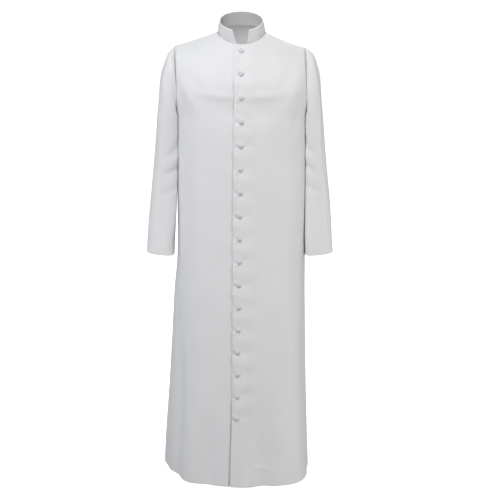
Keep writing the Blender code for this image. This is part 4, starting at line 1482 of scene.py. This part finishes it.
def sewing_thread():
    """Plain white sewing thread."""
    found = bpy.data.materials.get("white sewing thread")
    if found:
        return found
    material, tree, shader = new_material("white sewing thread")
    nodes, links = tree.nodes, tree.links
    place = nodes.new("ShaderNodeTexCoord")
    place.location = (-900, 0)
    plies = thread_wave(nodes, links, place.outputs["Object"], PLY_TURN, PLY_PITCH, (-500, 0))
    tone = nodes.new("ShaderNodeValToRGB")
    tone.location = (-260, 100)
    tone.color_ramp.elements[0].color = THREAD_DARK
    tone.color_ramp.elements[1].color = THREAD_LIGHT
    links.new(plies, tone.inputs["Fac"])
    links.new(tone.outputs["Color"], shader.inputs["Base Color"])
    shader.inputs["Roughness"].default_value = THREAD_ROUGHNESS
    shader.inputs["Sheen Weight"].default_value = THREAD_SHEEN
    return material


def studio_white(name, glow):
    """Pale paper, lit from behind a little so that it stays white."""
    material, _, shader = new_material(name)
    shader.inputs["Base Color"].default_value = PAPER
    shader.inputs["Roughness"].default_value = PAPER_ROUGHNESS
    shader.inputs["Specular IOR Level"].default_value = 0.0
    shader.inputs["Emission Color"].default_value = (1.0, 1.0, 1.0, 1.0)
    shader.inputs["Emission Strength"].default_value = glow
    return material


def stage_piece(name, mesh, material):
    """A floor or backdrop, which gives the robe no light of its own."""
    piece = add_piece(name, mesh, material)
    piece.visible_diffuse = False
    piece.visible_glossy = False
    piece.visible_shadow = False


def lamp(name, place, aim, size, power, colour):
    light = bpy.data.lights.new(name, "AREA")
    light.shape = "RECTANGLE"
    light.size, light.size_y = size
    light.energy = power
    light.color = colour
    obj = bpy.data.objects.new(name, light)
    obj.location = place
    obj.rotation_euler = (Vector(aim) - Vector(place)).to_track_quat("-Z", "Y").to_euler()
    obj.visible_camera = False
    bpy.context.scene.collection.objects.link(obj)


def length_of(name, description, default, least=0.0, most=10.0):
    return bpy.props.FloatProperty(
        name=name, description=description, default=default, min=least, max=most, unit="LENGTH",
        subtype="DISTANCE", precision=5,
    )


def share_of(name, description, default):
    return bpy.props.FloatProperty(
        name=name, description=description, default=default, min=0.0, max=1.0, subtype="FACTOR",
    )


def power_of(name, description, default):
    return bpy.props.FloatProperty(name=name, description=description, default=default, unit="POWER")


def colour_of(name, description, default):
    return bpy.props.FloatVectorProperty(
        name=name, description=description, default=default, size=3, subtype="COLOR",
    )


class RobeCloth(bpy.types.PropertyGroup):
    thickness: length_of("Thickness", "Thickness of the cloth", 0.0008, least=0.0004, most=0.0016)
    hem_depth: length_of("Hem", "Height of the hem that is turned up inside", 0.026)
    cuff_depth: length_of("Cuff hem", "Height of the cuff's hem that is turned up inside", 0.020)
    thread_pitch: length_of("Thread pitch", "Distance from one thread of the weave to the next", 0.0005)
    roughness: share_of("Roughness", "How matt the cloth is", 0.66)
    sheen: share_of("Sheen", "Soft light along the edges of the folds", 0.12)
    colour: colour_of("Cloth colour", "Colour of the white cloth", (0.84, 0.84, 0.85))
    # The collar's colour is darker than the cloth: painted shade
    collar_shaded_colour: colour_of("Collar colour", "Colour of the collar's stiffened cloth, darkened as painted shade", (0.70, 0.70, 0.712))
    # The collar's edge colour is lighter than the cloth: a painted highlight
    edge_highlight_colour: colour_of("Collar edge", "Colour of the collar's edge, lightened as a painted highlight", (0.92, 0.92, 0.93))
    # The inside colour is darker than the cloth: painted shade
    inside_shade_colour: colour_of("Inside colour", "Colour of the reverse of the cloth, darkened as painted shade", (0.46, 0.46, 0.465))
    # The button colour is darker than the cloth: painted shade
    button_shaded_colour: colour_of("Button colour", "Colour of the cloth on the buttons, darkened as painted shade", (0.70, 0.70, 0.715))


class RobeTrim(bpy.types.PropertyGroup):
    button_diameter: length_of("Button", "Diameter of the covered buttons", 0.0148)
    stitch_length: length_of("Stitch length", "Length of the thread that shows in one stitch", 0.0028)
    stitch_pitch: length_of("Stitch pitch", "Distance from one stitch to the next", 0.0035)
    stitch_width: length_of("Thread width", "Width of the sewing thread", 0.0005)


class RobeStudio(bpy.types.PropertyGroup):
    floor_drop: length_of("Floor below hem", "How far the floor is below the hem", 0.12)
    key_power: power_of("Key light", "Power of the cool light from the front left", 72.0)
    fill_power: power_of("Fill light", "Power of the warm light from the front right", 25.0)
    side_power: power_of("Side light", "Power of the cool light from the left", 13.0)
    rim_power: power_of("Rim light", "Power of the warm light from the right", 11.0)
    neck_power: power_of("Neck light", "Power of the small light inside the neck", 0.21)
    back_power: power_of("Back light", "Power of the light behind the robe", 50.0)
    sky: bpy.props.FloatProperty(
        name="Studio white", description="Brightness of the white studio all round", default=0.31, min=0.0,
    )


class MakeFronts(bpy.types.Operator):
    """Make the two fronts, from their buttoned edges to the side seams"""
    bl_idname = "robe.make_fronts"
    bl_label = "Fronts"

    def execute(self, context):
        for side in (-1, 1):
            body_shell("front", side, context.scene.robe_cloth)
        return {"FINISHED"}


class MakeBack(bpy.types.Operator):
    """Make the back, from side seam to side seam"""
    bl_idname = "robe.make_back"
    bl_label = "Back"

    def execute(self, context):
        body_shell("back", 0, context.scene.robe_cloth)
        return {"FINISHED"}


class MakeSleeves(bpy.types.Operator):
    """Make the two set-in sleeves with their turned cuffs"""
    bl_idname = "robe.make_sleeves"
    bl_label = "Sleeves"

    def execute(self, context):
        for side in (-1, 1):
            sleeve_shell(side, context.scene.robe_cloth)
        return {"FINISHED"}


class MakeCollar(bpy.types.Operator):
    """Make the standing collar"""
    bl_idname = "robe.make_collar"
    bl_label = "Collar"

    def execute(self, context):
        collar_shell(context.scene.robe_cloth)
        return {"FINISHED"}


class MakeButtons(bpy.types.Operator):
    """Make the covered buttons"""
    bl_idname = "robe.make_buttons"
    bl_label = "Buttons"

    def execute(self, context):
        trim = context.scene.robe_trim
        # The buttons take a darker copy of the white cloth: painted shade
        cover = shaded_button_cover()
        for index, (spot, outwards) in enumerate(button_places(), start=1):
            piece = button_shape(f"covered_button_{index:02d}", spot, outwards, trim, cover)
            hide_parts(f"button_{index:02d}")
        return {"FINISHED"}


class MakeStitching(bpy.types.Operator):
    """Sew the hem, cuffs, collar, buttoned edge and buttonholes. The cloth has to be there first"""
    bl_idname = "robe.make_stitching"
    bl_label = "Stitching"

    def execute(self, context):
        trim = context.scene.robe_trim
        cloth = context.scene.robe_cloth
        height = HEM_HEIGHT + cloth.hem_depth - HEM_STITCH_INSET
        names = ("front_left_cloth", "front_right_cloth", "back_cloth", "collar_band")
        left, right, back, collar = (surface_of(bpy.data.objects[name]) for name in names)
        sew("hem_stitching", [
            sewn_line(left, hem_rays("front", 1, FRONT_COLUMNS, height)),
            sewn_line(right, hem_rays("front", -1, FRONT_COLUMNS, height)),
            sewn_line(back, hem_rays("back", 1, BACK_COLUMNS, height)),
            sewn_line(back, hem_rays("back", -1, BACK_COLUMNS, height)),
        ], trim)
        cuffs = []
        for side in (-1, 1):
            surface = surface_of(bpy.data.objects[f"sleeve_{side_name(side)}_cloth"])
            cuffs.append(sewn_line(surface, cuff_rays(side, cloth.cuff_depth - HEM_STITCH_INSET)))
        sew("cuff_stitching", cuffs, trim)
        sew("collar_stitching", [
            sewn_line(collar, collar_rays(COLLAR_STITCH_TOP)),
            sewn_line(collar, collar_rays(COLLAR_STITCH_FOOT)),
            sewn_line(collar, collar_end_rays(COLLAR_STITCH_ENDS)),
            sewn_line(collar, collar_end_rays(1 - COLLAR_STITCH_ENDS)),
        ], trim)
        sew("placket_stitching", [sewn_line(left, placket_rays(PLACKET_STITCH))], trim)
        buttonholes(left)
        return {"FINISHED"}


class MakeStudio(bpy.types.Operator):
    """Set the pale floor, the soft lights and the camera"""
    bl_idname = "robe.make_studio"
    bl_label = "Studio"

    def execute(self, context):
        studio = context.scene.robe_studio
        floor_height = HEM_HEIGHT - studio.floor_drop
        floor = bmesh.new()
        bmesh.ops.create_circle(floor, cap_ends=True, segments=FLOOR_SEGMENTS, radius=STAGE_RADIUS)
        bmesh.ops.translate(floor, verts=floor.verts, vec=(0, 0, floor_height))
        stage_piece("studio_floor", floor, studio_white("pale studio floor", FLOOR_GLOW))
        dome = bmesh.new()
        round_it, up_it = DOME_SEGMENTS
        bmesh.ops.create_uvsphere(dome, u_segments=round_it, v_segments=up_it, radius=STAGE_RADIUS)
        bmesh.ops.translate(dome, verts=dome.verts, vec=(0, 0, floor_height))
        stage_piece("studio_backdrop", dome, studio_white("pale studio backdrop", BACKDROP_GLOW))

        world = bpy.data.worlds.new("white studio")
        world.use_nodes = True
        background = world.node_tree.nodes["Background"]
        background.inputs["Color"].default_value = (1.0, 1.0, 1.0, 1.0)
        background.inputs["Strength"].default_value = studio.sky
        context.scene.world = world
        for name, place, aim, size, colour in LAMPS:
            lamp(f"{name} light", place, aim, size, getattr(studio, f"{name}_power"), colour)

        camera = bpy.data.cameras.new("photo view")
        camera.lens = CAMERA_LENS
        camera.sensor_width = CAMERA_SENSOR
        camera.clip_end = CAMERA_REACH
        view = bpy.data.objects.new("photo view", camera)
        view.location = CAMERA_PLACE
        view.rotation_euler = (math.radians(90 - CAMERA_PITCH), 0.0, 0.0)
        context.scene.collection.objects.link(view)
        context.scene.camera = view
        context.scene.view_settings.view_transform = "Standard"
        return {"FINISHED"}


OPERATORS = (MakeFronts, MakeBack, MakeSleeves, MakeCollar, MakeButtons, MakeStitching, MakeStudio)


class RobePanel(bpy.types.Panel):
    bl_idname = "VIEW3D_PT_robe"
    bl_label = "Liturgical robe"
    bl_space_type = "VIEW_3D"
    bl_region_type = "UI"
    bl_category = "Robe"

    def draw(self, context):
        for group in (context.scene.robe_cloth, context.scene.robe_trim, context.scene.robe_studio):
            box = self.layout.box()
            for name in type(group).__annotations__:
                box.prop(group, name)
        for operator in OPERATORS:
            self.layout.operator(operator.bl_idname)


GROUPS = {"robe_cloth": RobeCloth, "robe_trim": RobeTrim, "robe_studio": RobeStudio}


def register():
    for name, group in GROUPS.items():
        bpy.utils.register_class(group)
        setattr(bpy.types.Scene, name, bpy.props.PointerProperty(type=group))
    for shown in (*OPERATORS, RobePanel):
        bpy.utils.register_class(shown)


def unregister():
    for shown in reversed((*OPERATORS, RobePanel)):
        bpy.utils.unregister_class(shown)
    for name, group in reversed(GROUPS.items()):
        delattr(bpy.types.Scene, name)
        bpy.utils.unregister_class(group)


def main():
    register()
    bpy.ops.robe.make_fronts()
    bpy.ops.robe.make_back()
    bpy.ops.robe.make_sleeves()
    bpy.ops.robe.make_collar()
    bpy.ops.robe.make_buttons()
    bpy.ops.robe.make_stitching()
    bpy.ops.robe.make_studio()


if __name__ == "__main__":
    main()
